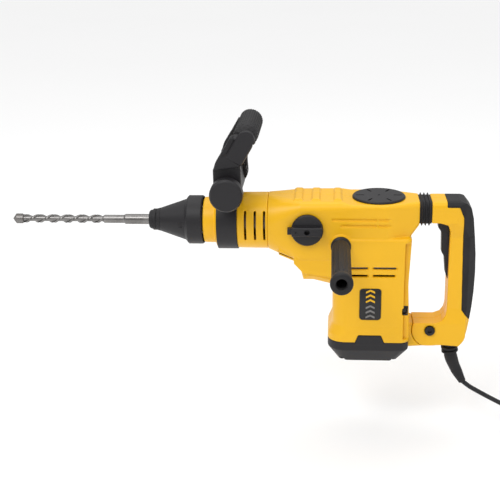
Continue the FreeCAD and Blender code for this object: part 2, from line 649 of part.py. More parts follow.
# ---------------------------------------------------------------- build: gear train and hammer mechanism
def build_gears():
    """Crank gear, crankshaft and intermediate shaft."""
    gap = math.pi / WHEEL_TEETH
    wheel = spur(WHEEL_TEETH, GEAR_MODULE, WHEEL_Z0, WHEEL_Z1, CRANK_X, math.pi + gap, 7.0)
    save("crank_gear", wheel)
    crank = rod_z(SHAFT_Z0, 34.0, 7.0, CRANK_X).fuse(rod_z(34.0, 43.0, 24.0, CRANK_X))
    crank = crank.fuse(rod_z(43.0, 53.9, CRANK_PIN_R, CRANK_X - CRANK_RADIUS))
    crank = crank.cut(box(CRANK_X + 3.0, CRANK_X + 30.0, -30.0, -15.0, 33.0, 44.0))
    crank = crank.cut(box(CRANK_X + 3.0, CRANK_X + 30.0, 15.0, 30.0, 33.0, 44.0))
    save("crankshaft", crank)
    wheel = spur(WHEEL_TEETH, GEAR_MODULE, WHEEL_Z0, WHEEL_Z1, INTER_X, gap, 0.0)
    z0 = TOOL_Z - CROWN_R - 3.0
    shaft = rod_z(SHAFT_Z0, z0, 5.0, INTER_X)
    pinion = spur(CROWN_PINION_TEETH, CROWN_MODULE, z0, z0 + 6.0, INTER_X, math.pi, 0.0)
    save("intermediate_shaft", wheel.fuse(shaft).fuse(pinion))


def crown_gear():
    """Face gear on the hammer tube: radial teeth on its rear face mesh with the vertical pinion."""
    pitch_x = INTER_X - CROWN_PINION_R
    root_x = pitch_x - 1.6
    tip_x = pitch_x + 0.8
    body = ring_x(root_x - 10.0, root_x, CROWN_R + 4.0, CYL_OUT_R + 0.02)
    teeth = []
    width = math.pi * CROWN_MODULE / 2 * 0.72
    half0 = width * 0.62
    half1 = width * 0.25
    for k in range(CROWN_TEETH):
        tooth = polygon([V(root_x - 0.2, -half0, 0), V(root_x - 0.2, half0, 0), V(tip_x, half1, 0),
                         V(tip_x, -half1, 0)]).extrude(V(0, 0, 6.4))
        tooth.translate(V(0, 0, -CROWN_R - 3.2))
        tooth.rotate(V(0, 0, 0), AXIS_X, 360.0 / CROWN_TEETH * (k + 0.5))
        tooth.translate(V(0, 0, TOOL_Z))
        teeth.append(tooth)
    return body.multiFuse(teeth)


def build_spindle():
    """Rotating hammer tube and tool holder with the chuck parts."""
    save("crown_gear", crown_gear())
    tube = ring_x(-330.0, -156.0, CYL_OUT_R, CYL_R)
    for k in range(4):
        port = rod_z(0.0, 30.0, 2.0, -282.0)
        port.rotate(V(-282.0, 0, 0), AXIS_X, 90.0 * k + 45.0)
        port.translate(V(0, 0, TOOL_Z))
        tube = tube.cut(port)
    save("hammer_tube", tube)
    outline = [(-486.0, 0), (-486.0, HOLDER_R), (-405.0, HOLDER_R), (-405.0, CYL_OUT_R), (-330.02, CYL_OUT_R),
               (-330.02, CYL_R - 0.02), (-302.0, CYL_R - 0.02), (-302.0, 0)]
    holder = turned_x(outline)
    holder = holder.cut(rod_x(-490.0, -377.0, SHANK_R + RUN_FIT))
    holder = holder.cut(rod_x(-378.0, -300.0, 14.0 + RUN_FIT))
    for side in (-1, 1):
        y0, y1 = sorted((side * 5.0, side * 20.0))
        holder = holder.cut(box(-462.05, -447.95, y0, y1, TOOL_Z - 3.55, TOOL_Z + 3.55))
    save("tool_holder", holder)
    segments = []
    for side in (-1, 1):
        y0, y1 = sorted((side * 7.2, side * HOLDER_R))
        seg = box(-462.0, -448.0, y0, y1, TOOL_Z - 3.5, TOOL_Z + 3.5)
        segments.append(seg.common(ring_x(-470.0, -440.0, HOLDER_R - 0.05, 7.2)))
    save("locking_segments", Part.makeCompound(segments))
    cap = turned_x([(-492.5, SHANK_R + 0.25), (-492.5, 13.0), (-491.0, 14.6), (-474.2, 18.7), (-474.2, 17.05),
                    (-486.05, 17.05), (-486.05, SHANK_R + 0.25)])
    save("dust_cap", cap)
    # sliding sleeve
    outline = [(-474.0, 17.1), (-474.0, 18.8), (-433.6, 32.6), (-430.6, 36.6), (-428.6, 38.6), (-407.2, 38.6),
               (-405.4, 37.4), (-405.4, 36.9), (-409.0, 36.9), (-424.0, 34.5), (-436.0, 28.0), (-447.0, 26.0),
               (-447.0, 17.1)]
    sleeve = turned_x(outline)
    for k in range(4):
        notch = prism_y([(-450.0, 40.0), (-436.5, 40.0), (-436.5, 29.6), (-450.0, 26.6)], -4.5, 4.5)
        notch.rotate(V(0, 0, 0), AXIS_X, 90.0 * k)
        notch.translate(V(0, 0, TOOL_Z))
        thin = ring_x(-455.0, -430.0, 45.0, 29.4)
        sleeve = sleeve.cut(notch.common(thin))
    save("lock_sleeve", sleeve)
    save("sleeve_spring", coil_spring(-446.5, -408.2, 20.5, 1.2, 6))
    build_bit()


def coil_spring(x0, x1, r, wire_r, turns):
    """Compression spring about the tool axis, as stacked rings joined by a thin rail."""
    step = (x1 - x0 - 2 * wire_r) / turns
    solids = []
    for k in range(turns + 1):
        x = x0 + wire_r + step * k
        solids.append(Part.makeTorus(r, wire_r, V(x, 0, TOOL_Z), AXIS_X))
    rail = rod_x(x0 + wire_r, x1 - wire_r, 0.5, 0.0, TOOL_Z + r)
    return solids[0].multiFuse(solids[1:] + [rail])


def build_bit():
    """Fluted drill bit with a splined shank, and its brazed carbide tip."""
    outline = [(BIT_TIP_X, 0), (BIT_TIP_X, FLUTE_CORE_R), (FLUTE_END_X - 3.0, FLUTE_CORE_R), (FLUTE_END_X, 6.6),
               (-534.0, 6.6), (-531.5, 8.2), (-493.5, 8.2), (-492.3, SHANK_R), (-411.5, SHANK_R),
               (-410.0, SHANK_R - 1.5), (-410.0, 0)]
    bit = turned_x(outline)
    bit = bit.multiFuse(bit_lands())
    for side in (-1, 1):
        y0, y1 = sorted((side * 6.9, side * 12.0))
        bit = bit.cut(box(-474.0, -447.8, y0, y1, TOOL_Z - 3.7, TOOL_Z + 3.7))
    save("drill_bit", bit)
    back = BIT_TIP_X - 0.05
    tip = turned_x([(-715.3, 0.0), (-715.3, 0.8), (-710.0, 8.0), (-700.0, 8.0), (back, 6.0), (back, 0.0)])
    blade = box(-716, back, -1.9, 1.9, TOOL_Z - 9, TOOL_Z + 9)
    head = tip.common(blade.fuse(rod_x(-709.0, back, 6.6)))
    save("carbide_tip", head)


def bit_lands():
    """Two helical lands of the flute, each a ruled loft through turned sections around the core."""
    steps = 34
    lands = []
    for start in (0.0, math.pi):
        wires = []
        for k in range(steps + 1):
            x = BIT_TIP_X + (FLUTE_END_X - BIT_TIP_X) * k / steps
            a = start + 2 * math.pi * (x - BIT_TIP_X) / FLUTE_PITCH
            pts = []
            for r, da in ((3.6, -0.50), (FLUTE_R, -0.34), (FLUTE_R, 0.34), (3.6, 0.50)):
                pts.append(V(x, r * math.sin(a + da), TOOL_Z + r * math.cos(a + da)))
            wires.append(Part.makePolygon(pts + [pts[0]]))
        lands.append(Part.makeLoft(wires, True, True))
    return lands


def build_hammer():
    """Piston with its wrist pin, connecting rod, striker and impact bolt."""
    pin_x = CRANK_X - CRANK_RADIUS - CONROD_LENGTH
    piston = turned_x([(pin_x - 20.0, 0), (pin_x - 20.0, CYL_R - RUN_FIT), (pin_x + 13.0, CYL_R - RUN_FIT),
                       (pin_x + 13.0, 15.0), (pin_x - 10.0, 15.0), (pin_x - 10.0, 0)])
    piston = piston.cut(rod_z(TOOL_Z - 30.0, TOOL_Z + 30.0, WRIST_R + 0.02, pin_x))
    groove = ring_x(pin_x - 16.0, pin_x - 14.0, CYL_R + 1, CYL_R - 1.5)
    save("piston", piston.cut(groove))
    wrist_pin = rod_z(TOOL_Z - 19.8, TOOL_Z + 19.8, WRIST_R, pin_x)
    save("wrist_pin", wrist_pin.common(rod_x(pin_x - 10.0, pin_x + 10.0, CYL_R - 0.3)))
    eye_x = pin_x + CONROD_LENGTH
    rod_z0 = TOOL_Z - 7.0
    rod_z1 = TOOL_Z + 7.0
    rod = box(pin_x, eye_x, -5.0, 5.0, TOOL_Z - 5.0, TOOL_Z + 5.0)
    rod = rod.multiFuse([rod_z(rod_z0, rod_z1, 10.0, eye_x), rod_z(rod_z0, rod_z1, 8.5, pin_x)])
    rod = rod.cut(rod_z(rod_z0 - 1.0, rod_z1 + 1.0, WRIST_R + RUN_FIT, pin_x))
    rod = rod.cut(rod_z(rod_z0 - 1.0, rod_z1 + 1.0, CRANK_PIN_R + 0.05, eye_x))
    save("connecting_rod", rod)
    ram = rod_x(-262.0, -227.0, CYL_R - RUN_FIT).cut(ring_x(-247.0, -243.0, CYL_R + 1, CYL_R - 2.3))
    ram = ram.fuse(rod_x(-272.0, -262.0, 10.0))
    save("striker", ram)
    bolt = turned_x([(-399.0, 0), (-399.0, 8.0), (-398.0, SHANK_R), (-352.0, SHANK_R), (-348.0, 14.0),
                     (-336.0, 14.0), (-332.0, 10.0), (-313.0, 10.0), (-312.0, 9.0), (-312.0, 0)])
    save("impact_bolt", bolt)


# ---------------------------------------------------------------- build: controls on the main body
def build_selector():
    """Mode knob with a crossbar, a pointer and the cam behind it."""
    base = turned_y([(0, -49.0), (24.5, -49.0), (24.5, -54.0), (23.0, -55.6), (0, -55.6)], KNOB_X, TOOL_Z)
    bar = prism_y([(KNOB_X - 24.0, TOOL_Z - 7.0), (KNOB_X + 24.0, TOOL_Z - 7.0), (KNOB_X + 24.0, TOOL_Z + 7.0),
                   (KNOB_X - 24.0, TOOL_Z + 7.0)], -64.0, -55.0)
    bar = bar.common(rod_y(-70.0, -50.0, 24.0, KNOB_X, TOOL_Z))
    bar = bar.makeChamfer(1.2, [e for e in bar.Edges if e.CenterOfMass.y < -63.9])
    pointer = box(KNOB_X - 30.0, KNOB_X - 20.0, -60.0, -50.5, TOOL_Z - 4.6, TOOL_Z + 4.6)
    knob = base.fuse(bar).fuse(pointer)
    knob = knob.cut(rod_y(-70.0, -56.0, 4.2, KNOB_X, TOOL_Z))
    knob = knob.cut(rod_y(-66.0, -62.5, 1.5, KNOB_X - 17.0, TOOL_Z))
    knob = knob.fuse(rod_y(-49.5, -37.0, 8.9, KNOB_X, TOOL_Z))
    cam = rod_y(-37.0, -33.0, 8.9, KNOB_X, TOOL_Z).fuse(rod_y(-33.0, -28.0, 2.5, KNOB_X, TOOL_Z + 6.0))
    save("selector_knob", knob.fuse(cam))


def build_dial():
    """Speed dial on its axle, and the speed control board that carries the axle."""
    wheel = ring_x(DIAL_X0, DIAL_X1, DIAL_R, 2.0 + RUN_FIT, DIAL_Y, DIAL_Z)
    save("speed_dial", wheel)
    axle = rod_x(-96.0, DIAL_X1 + 0.8, 2.0, DIAL_Y, DIAL_Z)
    module = box(-99.0, -96.0, -38.0, 20.0, -100.0, -44.0).fuse(axle)
    save("speed_control_board", module)


def build_bar_handle():
    """Threaded inserts, stud, core with collar and ribbed rubber grip."""
    insert_y = -BOSS_Y
    bushes = []
    for side in (-1, 1):
        y0, y1 = sorted((side * INSERT_Y0, side * BOSS_Y))
        y2, y3 = sorted((side * (INSERT_Y0 + 3.0), side * (BOSS_Y + 3.0)))
        bush = rod_y(y0, y1, 10.98, BAR_X, BAR_Z).cut(rod_y(y2, y3, 5.1, BAR_X, BAR_Z))
        bushes.append(bush)
    save("side_handle_inserts", Part.makeCompound(bushes))
    save("bar_handle_stud", rod_y(-128.0, insert_y + 12.5, 5.05, BAR_X, BAR_Z))
    collar = turned_y([(5.1, insert_y - 0.05), (15.5, insert_y - 0.05), (15.5, -55.0), (13.0, -57.5),
                       (5.1, -57.5)], BAR_X, BAR_Z)
    core = turned_y([(5.1, -57.0), (9.0, -57.0), (9.0, -206.0), (7.8, -206.0), (7.8, -129.0), (5.1, -129.0)],
                    BAR_X, BAR_Z)
    save("bar_handle_core", core.fuse(collar))
    grip = turned_y([(9.02, -57.55), (12.4, -57.55), (14.0, -60.0), (14.2, -194.0), (15.0, -201.0),
                     (16.3, -204.5), (16.3, -211.5), (14.6, -213.5), (7.9, -213.5), (7.9, -206.05),
                     (9.02, -206.05)], BAR_X, BAR_Z)
    for k in range(10):
        groove = box(-0.9, 0.9, -192.0, -66.0, 13.3, 16.0)
        groove.rotate(V(0, 0, 0), AXIS_Y, 36.0 * k + 18.0)
        groove.translate(V(BAR_X, 0, BAR_Z))
        grip = grip.cut(groove)
    save("bar_handle_grip", grip)


# ---------------------------------------------------------------- build: clamp band and front D-handle
def build_clamp():
    """Clamp band with its saddle, bolt, toothed washers and knob."""
    band = ring_x(BAND_X0, BAND_X1, 45.8, BAND_SEAT_R + RUN_FIT)
    block = prism_y([(-377.0, 96.0), (-343.0, 96.0), (-343.0, 118.0), (-347.0, 140.0), (-373.0, 140.0),
                     (-377.0, 118.0)], -SADDLE_HALF, SADDLE_HALF)
    block = block.cut(rod_x(-400.0, -300.0, BAND_SEAT_R + RUN_FIT))
    block = block.cut(box(BAND_X1 + 0.1, -300.0, -60.0, 60.0, 0.0, 113.0))
    clamp = band.fuse(block)
    clamp = clamp.cut(rod_y(-80.0, 80.0, SWIVEL_BOLT_R + RUN_FIT, SWIVEL_X, SWIVEL_Z))
    save("clamp_band", clamp)
    bolt = rod_y(-72.0, 84.0, SWIVEL_BOLT_R, SWIVEL_X, SWIVEL_Z)
    bolt = bolt.fuse(rod_y(80.5, 86.5, 8.5, SWIVEL_X, SWIVEL_Z))
    save("clamp_bolt", bolt)
    washers = []
    for side in (-1, 1):
        y0, y1 = sorted((side * (SADDLE_HALF + 0.05), side * (SADDLE_HALF + 9.0)))
        washer = ring_y(y0, y1, 21.0, SWIVEL_BOLT_R + RUN_FIT, SWIVEL_X, SWIVEL_Z)
        for k in range(24):
            cutter = box(-1.3, 1.3, y0 - 1, y1 + 1, 19.6, 24.0)
            cutter.rotate(V(0, 0, 0), AXIS_Y, 15.0 * k)
            cutter.translate(V(SWIVEL_X, 0, SWIVEL_Z))
            washer = washer.cut(cutter)
        washers.append(washer)
    save("toothed_washers", Part.makeCompound(washers))
    knob = turned_y([(5.06, -73.6), (16.0, -73.6), (25.0, -78.0), (25.0, -93.0), (22.5, -97.0), (0.0, -97.0),
                     (0.0, -90.0), (5.06, -90.0)], SWIVEL_X, SWIVEL_Z)
    save("clamp_knob", knob)
    build_d_handle()


def d_handle_outline():
    """Side outline of one D-handle arm, in (x, z): swivel boss, kink and tilted arm."""
    ux = math.sin(TILT)
    uz = math.cos(TILT)
    nx = -uz
    nz = ux
    depth = 19.5
    top = (GRIP_X + ux * 1.0, GRIP_Z + uz * 1.0)
    return [(-382.5, SWIVEL_Z), (-382.5, 157.0), (-369.5, 187.0),
            (top[0] + nx * depth, top[1] + nz * depth), (top[0] + ux * 18.0, top[1] + uz * 18.0),
            (top[0] - nx * depth, top[1] - nz * depth), (-336.5, 165.0), (-336.5, SWIVEL_Z)]


def d_loop(half_out, half_in, corner_out, corner_in, top_drop):
    """Loop seen along the arm direction: outer rounded shape minus the hand opening."""
    low = SWIVEL_Z - 40.0
    high = GRIP_Z + 24.0
    outer = rounded_wire(lambda a, b: V(-420.0, a, b), -half_out, half_out, low, high,
                         (corner_out, corner_out, 1.0, 1.0))
    outer_solid = Part.Face(outer).extrude(V(200.0, 0, 0))
    inner = rounded_wire(lambda a, b: V(-430.0, a, b), -half_in, half_in, low - 10.0, high - top_drop,
                         (corner_in, corner_in, 1.0, 1.0))
    return outer_solid.cut(Part.Face(inner).extrude(V(220.0, 0, 0)))


def build_d_handle():
    """D-handle frame with a tube through the grip, and the soft grip over its top."""
    outline = d_handle_outline()
    slab = prism_y(outline, -80.0, 80.0)
    boss = rod_y(-80.0, 80.0, 23.0, SWIVEL_X + 0.5, SWIVEL_Z)
    slab = slab.fuse(boss)
    loop = slab.common(d_loop(D_HALF, D_GAP_HALF, 30.0, 22.0, 40.0))
    loop = loop.cut(rod_y(-60.0, 60.0, 23.6, GRIP_X, GRIP_Z))
    top_clip = box(-420, -250, -100, 100, GRIP_Z - 4.0, 300)
    frame = loop.cut(top_clip)
    tube = rod_y(-64.0, 64.0, GRIP_TUBE_R, GRIP_X, GRIP_Z)
    posts = []
    for side in (-1, 1):
        y0, y1 = sorted((side * D_GAP_HALF, side * 68.0))
        outline = [(GRIP_X - 30.0, GRIP_Z - 40.0), (GRIP_X - 8.0, GRIP_Z - 52.0), (GRIP_X + 14.0, GRIP_Z - 6.0),
                   (GRIP_X + 9.0, GRIP_Z + 4.0), (GRIP_X - 8.0, GRIP_Z + 6.0)]
        posts.append(prism_y(outline, y0, y1))
    frame = frame.multiFuse([tube] + posts)
    frame = frame.cut(rod_y(-100.0, 100.0, SWIVEL_BOLT_R + RUN_FIT, SWIVEL_X, SWIVEL_Z))
    frame = frame.cut(rod_y(-100.0, -73.3, 27.0, SWIVEL_X, SWIVEL_Z))
    save("d_handle_frame", frame)
    grip_half = D_GAP_HALF - 0.1
    grip = ring_y(-grip_half, grip_half, GRIP_R, GRIP_TUBE_R + 0.02, GRIP_X, GRIP_Z)
    corners = slab.common(d_loop(D_HALF + 2.0, D_GAP_HALF, 32.0, 20.0, 44.0)).common(top_clip).cut(frame)
    two_corners = sorted(corners.Solids, key=lambda solid: -solid.Volume)[:2]
    save("d_handle_grip", grip.multiFuse(two_corners))


# ---------------------------------------------------------------- build: rear handle
def handle_side_outline():
    """Rear handle's outline in (x, z), from the bellows over the back to the pivot."""
    return [(BELLOWS_X1, 66.0), (BELLOWS_X1, 98.0), (-42.0, 99.8), (-8.0, 100.0), (2.5, 96.5), (10.0, 87.5),
            (14.5, 70.0), (17.8, 42.0), (21.0, 10.0), (22.0, -20.0), (21.2, -52.0), (19.0, -78.0),
            (16.0, -99.0), (12.5, -118.0), (8.0, -132.5), (0.5, -142.5), (-26.0, -140.5), (PIVOT_X, -141.8)]


def opening_outline():
    """Hand opening between the grip, the two arms and the motor housing."""
    return [(-110.0, 66.0), (-37.0, 66.0), (-25.0, 62.0), (-21.0, 50.0), (-20.6, -80.0), (-22.4, -90.0),
            (-27.6, -98.5), (-38.0, -103.0), (-110.0, -103.0)]


def handle_solid():
    """Rear handle as one block: side outline, hand opening, pivot disc and plan outline."""
    outline = handle_side_outline() + [(-80.0, -141.8), (-80.0, 66.0)]
    body = prism_y(outline, -ARM_HALF, ARM_HALF)
    body = body.cut(prism_y(opening_outline(), -60.0, 60.0))
    ahead = box(-120.0, PIVOT_X, -60.0, 60.0, -170.0, 60.0)
    disc = rod_y(-60.0, 60.0, PIVOT_SEAM_R - 0.4, PIVOT_X, PIVOT_Z)
    body = body.cut(ahead.cut(disc))
    body = body.cut(box(-120.0, BELLOWS_X1, -60.0, 60.0, 60.0, 120.0))
    # seen from the front it is slim at the grip and wider at the two arms
    half_width = [(18.0, 120.0), (18.0, 100.2), (24.5, 98.4), (28.0, 94.5), (ARM_HALF, 89.0), (ARM_HALF, 66.0),
                  (GRIP_HALF, 40.0), (GRIP_HALF, -78.0), (24.0, -104.0), (24.0, -170.0)]
    front_view = [V(-100.0, y, z) for y, z in half_width] + [V(-100.0, -y, z) for y, z in reversed(half_width)]
    body = body.common(polygon(front_view).extrude(V(160.0, 0, 0)))
    return body


def handle_rounded():
    """Handle outside with the rear corners of the grip and of the upper arm taken off."""
    body = handle_solid()
    for side in (-1, 1):
        grip_corner = [V(10.0, side * 40.0, -160.0), V(10.0, side * GRIP_HALF, -160.0),
                       V(26.0, side * 6.0, -160.0), V(40.0, side * 6.0, -160.0), V(40.0, side * 40.0, -160.0)]
        body = body.cut(polygon(grip_corner).extrude(V(0, 0, 200.0)))
        arm_corner = [V(-12.0, side * 40.0, 40.0), V(-12.0, side * ARM_HALF, 40.0), V(0.0, side * 26.5, 40.0),
                      V(10.0, side * 19.0, 40.0), V(26.0, side * 6.0, 40.0), V(40.0, side * 6.0, 40.0),
                      V(40.0, side * 40.0, 40.0)]
        body = body.cut(polygon(arm_corner).extrude(V(0, 0, 80.0)))
    return body


def overmold_region():
    """Region of the handle's rear and top that is soft rubber."""
    outline = [(-28.0, 91.0), (-27.0, 110.0), (40.0, 110.0), (40.0, -106.0), (15.0, -98.0), (2.6, -81.0),
               (-1.8, 74.0), (-9.0, 91.0)]
    return prism_y(outline, -60.0, 60.0)


def build_rear_handle():
    """Two hollow shells, rubber skin, pivot bolt, trigger, switch and bellows."""
    body = handle_rounded()
    over = body.common(overmold_region()).cut(skin_core())
    save("handle_overmold", over)
    shell = body.cut(over)
    hollow = [box(-16.0, 12.0, -14.0, 14.0, -80.0, 58.0), box(-44.0, 4.0, -20.0, 20.0, 70.0, 92.0),
              box(-16.0, 2.0, -14.0, 14.0, 50.0, 75.0), box(-14.0, 4.0, -14.0, 14.0, -125.0, -70.0),
              box(-26.0, -10.0, -9.4, 9.4, -32.0, 66.0), box(-41.5, -10.0, -9.4, 9.4, 58.0, 66.5),
              box(-55.0, -40.0, -20.0, 20.0, 70.0, 92.0)]
    shell = shell.cut(hollow[0].multiFuse(hollow[1:]))
    shell = shell.cut(rod_y(-11.3, 11.3, LUG_SLOT, PIVOT_X, PIVOT_Z))
    shell = shell.cut(box(-80.0, PIVOT_X, -11.3, 11.3, PIVOT_Z - 16.0, PIVOT_Z + LUG_SLOT))
    shell = shell.cut(rod_y(-40.0, 40.0, 6.0, PIVOT_X, PIVOT_Z))
    for side in (-1, 1):
        y0, y1 = sorted((side * 21.0, side * 30.0))
        shell = shell.cut(rod_y(y0, y1, 8.0, PIVOT_X, PIVOT_Z))
    shell = shell.cut(rod_z(-150.0, -124.0, 9.0, GUARD_X))
    for x, z, half in HANDLE_SCREWS:
        shell = shell.fuse(rod_y(-half, half, 4.6, x, z))
        shell = shell.cut(rod_y(-half + 3.0, half + 14.0, 1.8, x, z))
        shell = shell.cut(rod_y(half - 4.0, half + 14.0, 3.7, x, z))
    left, right = split_sides(shell)
    save("handle_shell_left", left)
    save("handle_shell_right", right)
    screws = [screw_y(x, z, half - 4.0, 2 * half - 12.0, 3.5, 1.75) for x, z, half in HANDLE_SCREWS]
    save("handle_screws", Part.makeCompound(screws))
    bolt = rod_y(-27.0, 24.0, 5.95, PIVOT_X, PIVOT_Z).fuse(rod_y(-27.0, -21.05, 7.8, PIVOT_X, PIVOT_Z))
    bolt = bolt.cut(rod_y(-30.0, -24.5, 3.4, PIVOT_X, PIVOT_Z))
    save("pivot_bolt", bolt)
    trigger = prism_y([(-38.3, 62.5), (-38.3, 52.5), (-32.8, 45.0), (-31.8, 12.5), (-27.2, 4.5), (-24.6, -22.0),
                       (-21.5, -31.0), (-16.5, -31.0), (-16.5, 62.5)], -9.0, 9.0)
    trigger = soften(trigger, 2.0, lambda e: abs(abs(e.CenterOfMass.y) - 9.0) < 0.1 and e.CenterOfMass.x < -24)
    save("trigger", trigger)
    switch = box(-9.5, 8.0, -11.0, 11.0, -30.0, 40.0)
    save("power_switch", switch)
    build_bellows()


def skin_core():
    """Hard core under the rubber skin: the handle outline set in by the skin's depth."""
    outline = [(-60.0, 60.0), (-60.0, 98.0 - SKIN_DEPTH), (-8.0, 100.0 - SKIN_DEPTH), (0.5, 93.0), (6.5, 85.5),
               (10.8, 70.0), (13.8, 42.0), (17.0, 10.0), (18.0, -20.0), (17.2, -52.0), (15.0, -78.0),
               (12.0, -99.0), (-20.0, -99.0), (-20.0, 60.0)]
    core = prism_y(outline, -SKIN_CORE_HALF, SKIN_CORE_HALF)
    return core.cut(box(-60.0, -8.0, -60.0, 60.0, -120.0, 60.0))


def build_bellows():
    """Rubber bellows between the housing and the upper handle arm, with two ribs."""
    wires = []
    steps = [(SHELL_BACK_X + 0.15, 0.0), (-66.5, 0.0), (-63.5, 3.0), (-60.5, 0.4), (-57.5, 3.0), (-54.0, 0.0),
             (BELLOWS_X1 - 0.15, 0.0)]
    for x, grow in steps:
        wires.append(section_x(x, ARM_HALF - 0.5 + grow, 62.5 - grow, TOP_Z - 0.8 + grow, 10.0, 10.0))
    outer = loft(wires)
    hole = loft([section_x(SHELL_BACK_X - 1.0, ARM_HALF - 3.0, 64.9, TOP_Z - 3.2, 7.0, 7.0),
                 section_x(BELLOWS_X1 + 1.0, ARM_HALF - 3.0, 64.9, TOP_Z - 3.2, 7.0, 7.0)])
    save("bellows", outer.cut(hole))
    springs = []
    for y in (-11.0, 11.0):
        rings = [Part.makeTorus(6.0, 1.0, V(-78.0 + 4.4 * k, y, 82.0), AXIS_X) for k in range(9)]
        rail = rod_x(-78.0, -42.8, 0.5, y, 88.0)
        springs.append(rings[0].multiFuse(rings[1:] + [rail]))
    save("damping_springs", Part.makeCompound(springs))


# ---------------------------------------------------------------- build: mains lead
def circle_wire(centre, direction, radius):
    """Circle as a wire, for lofts and sweeps."""
    return Part.Wire([Part.Circle(centre, direction, radius).toShape()])


def cord_guard():
    """Bend guard of the lead, with three ribs and a neck held in the handle."""
    wires = []
    count = len(GUARD_PATH)
    for k, ((x, z), r) in enumerate(zip(GUARD_PATH, GUARD_RADII)):
        a = GUARD_PATH[max(k - 1, 0)]
        b = GUARD_PATH[min(k + 1, count - 1)]
        d = V(b[0] - a[0], 0, b[1] - a[1])
        wires.append(circle_wire(V(x, 0, z), d, r))
    guard = Part.makeLoft(wires[1:], True, False)
    guard = guard.fuse(rod_z(-154.0, -142.9, 11.0, GUARD_X))
    for z in GUARD_RIB_Z:
        guard = guard.fuse(rod_z(z - 1.6, z + 1.6, GUARD_RADII[0], GUARD_X))
    guard = guard.fuse(rod_z(-143.0, GUARD_TOP_Z - 2.0, 8.9, GUARD_X))
    return guard


def round_route(points):
    """Straight runs joined by tangent arcs, each as large as its two runs allow."""
    pts = [V(*p) for p in points]
    edges = []
    last = pts[0]
    radii = []
    for a, b, c in zip(pts, pts[1:], pts[2:]):
        u = a - b
        w = c - b
        run = min(u.Length, w.Length)
        u.normalize()
        w.normalize()
        turn = math.pi - u.getAngle(w)
        cut = 0.45 * run
        radius = cut / math.tan(turn / 2)
        radii.append(radius)
        start = b + u * cut
        end = b + w * cut
        half = u + w
        half.normalize()
        centre = b + half * math.hypot(radius, cut)
        middle = centre - half * radius
        edges.append(Part.LineSegment(last, start).toShape())
        edges.append(Part.Arc(start, middle, end).toShape())
        last = end
    edges.append(Part.LineSegment(last, pts[-1]).toShape())
    return Part.Wire(edges), radii


def build_cord():
    """Guard, visible run of the lead and the coil as one ring."""
    guard = cord_guard()
    wire, radii = round_route(ROUTE)
    first = V(*ROUTE[1]) - V(*ROUTE[0])
    section = circle_wire(V(*ROUTE[0]), first, CORD_D / 2)
    tube = wire.makePipeShell([section], True, True)
    print("lead: length %.1f mm, tightest bend %.1f mm" % (wire.Length, min(radii)))
    save("cord_guard", guard.cut(tube))
    save("power_cord", tube)
    coil = ring_z(FLOOR_Z, FLOOR_Z + COIL_LAYERS * CORD_D, COIL_RADII[0] + CORD_D / 2,
                  COIL_RADII[-1] - CORD_D / 2, COIL_X, COIL_Y)
    save("cord_coil", coil.cut(tube))


def build_plug():
    """Two-pin plug lying on the coil, its face towards +Y."""
    half_width = 17.0
    half_height = 12.8
    length = 40.0
    pin_length = 19.0
    body = box(PLUG_X - half_width, PLUG_X + half_width, PLUG_Y0, PLUG_Y0 + length,
               PLUG_Z - half_height, PLUG_Z + half_height)
    body = soften(body, 5.0, lambda e: True)
    pins = []
    for x in (PLUG_X - 9.5, PLUG_X + 9.5):
        pins.append(rod_y(PLUG_Y0 + length, PLUG_Y0 + length + pin_length, 2.4, x, PLUG_Z))
    save("plug", body.multiFuse(pins))


build_main()
build_motor()
build_gears()
build_spindle()
build_hammer()
build_selector()
build_dial()
build_bar_handle()
build_clamp()
build_rear_handle()
build_cord()
build_plug()
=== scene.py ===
import math

import bmesh
import bpy
from mathutils import Matrix, Vector


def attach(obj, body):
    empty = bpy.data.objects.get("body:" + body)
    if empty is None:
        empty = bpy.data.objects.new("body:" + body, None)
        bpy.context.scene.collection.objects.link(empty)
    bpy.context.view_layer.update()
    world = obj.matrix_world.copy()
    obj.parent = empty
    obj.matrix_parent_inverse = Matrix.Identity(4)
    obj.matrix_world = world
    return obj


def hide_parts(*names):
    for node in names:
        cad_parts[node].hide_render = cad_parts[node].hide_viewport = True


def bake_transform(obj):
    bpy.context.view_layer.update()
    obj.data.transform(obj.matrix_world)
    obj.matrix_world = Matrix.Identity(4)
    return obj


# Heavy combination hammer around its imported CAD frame. Metres throughout; the origin is the middle of
# the rear grip, +X points from the bit to the rear handle, +Z is up and the camera stands on the -Y side.

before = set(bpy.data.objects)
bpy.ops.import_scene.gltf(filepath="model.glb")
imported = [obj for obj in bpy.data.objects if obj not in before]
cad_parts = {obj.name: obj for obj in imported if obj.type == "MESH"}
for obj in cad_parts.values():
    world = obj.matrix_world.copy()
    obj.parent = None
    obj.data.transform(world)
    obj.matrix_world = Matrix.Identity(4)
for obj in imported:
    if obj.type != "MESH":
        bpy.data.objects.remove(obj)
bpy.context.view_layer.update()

MM = 0.001
BODY = "main_body"
HANDLE = "rear_handle"


# ---------------------------------------------------------------- camera, floor and light
VIEW_TARGET = Vector((-0.33356, 0.0, 0.01049))
VIEW_DISTANCE = 1.6
VIEW_AZIMUTH = math.radians(4.9)
VIEW_ELEVATION = math.radians(19.5)
VIEW_ROLL = math.radians(-1.17)
FLOOR_Z = -0.300
HORIZON_LIGHT = 0.3
ZENITH_LIGHT = 1.3
FLOOR_REACH = 30.0      # half the floor's side


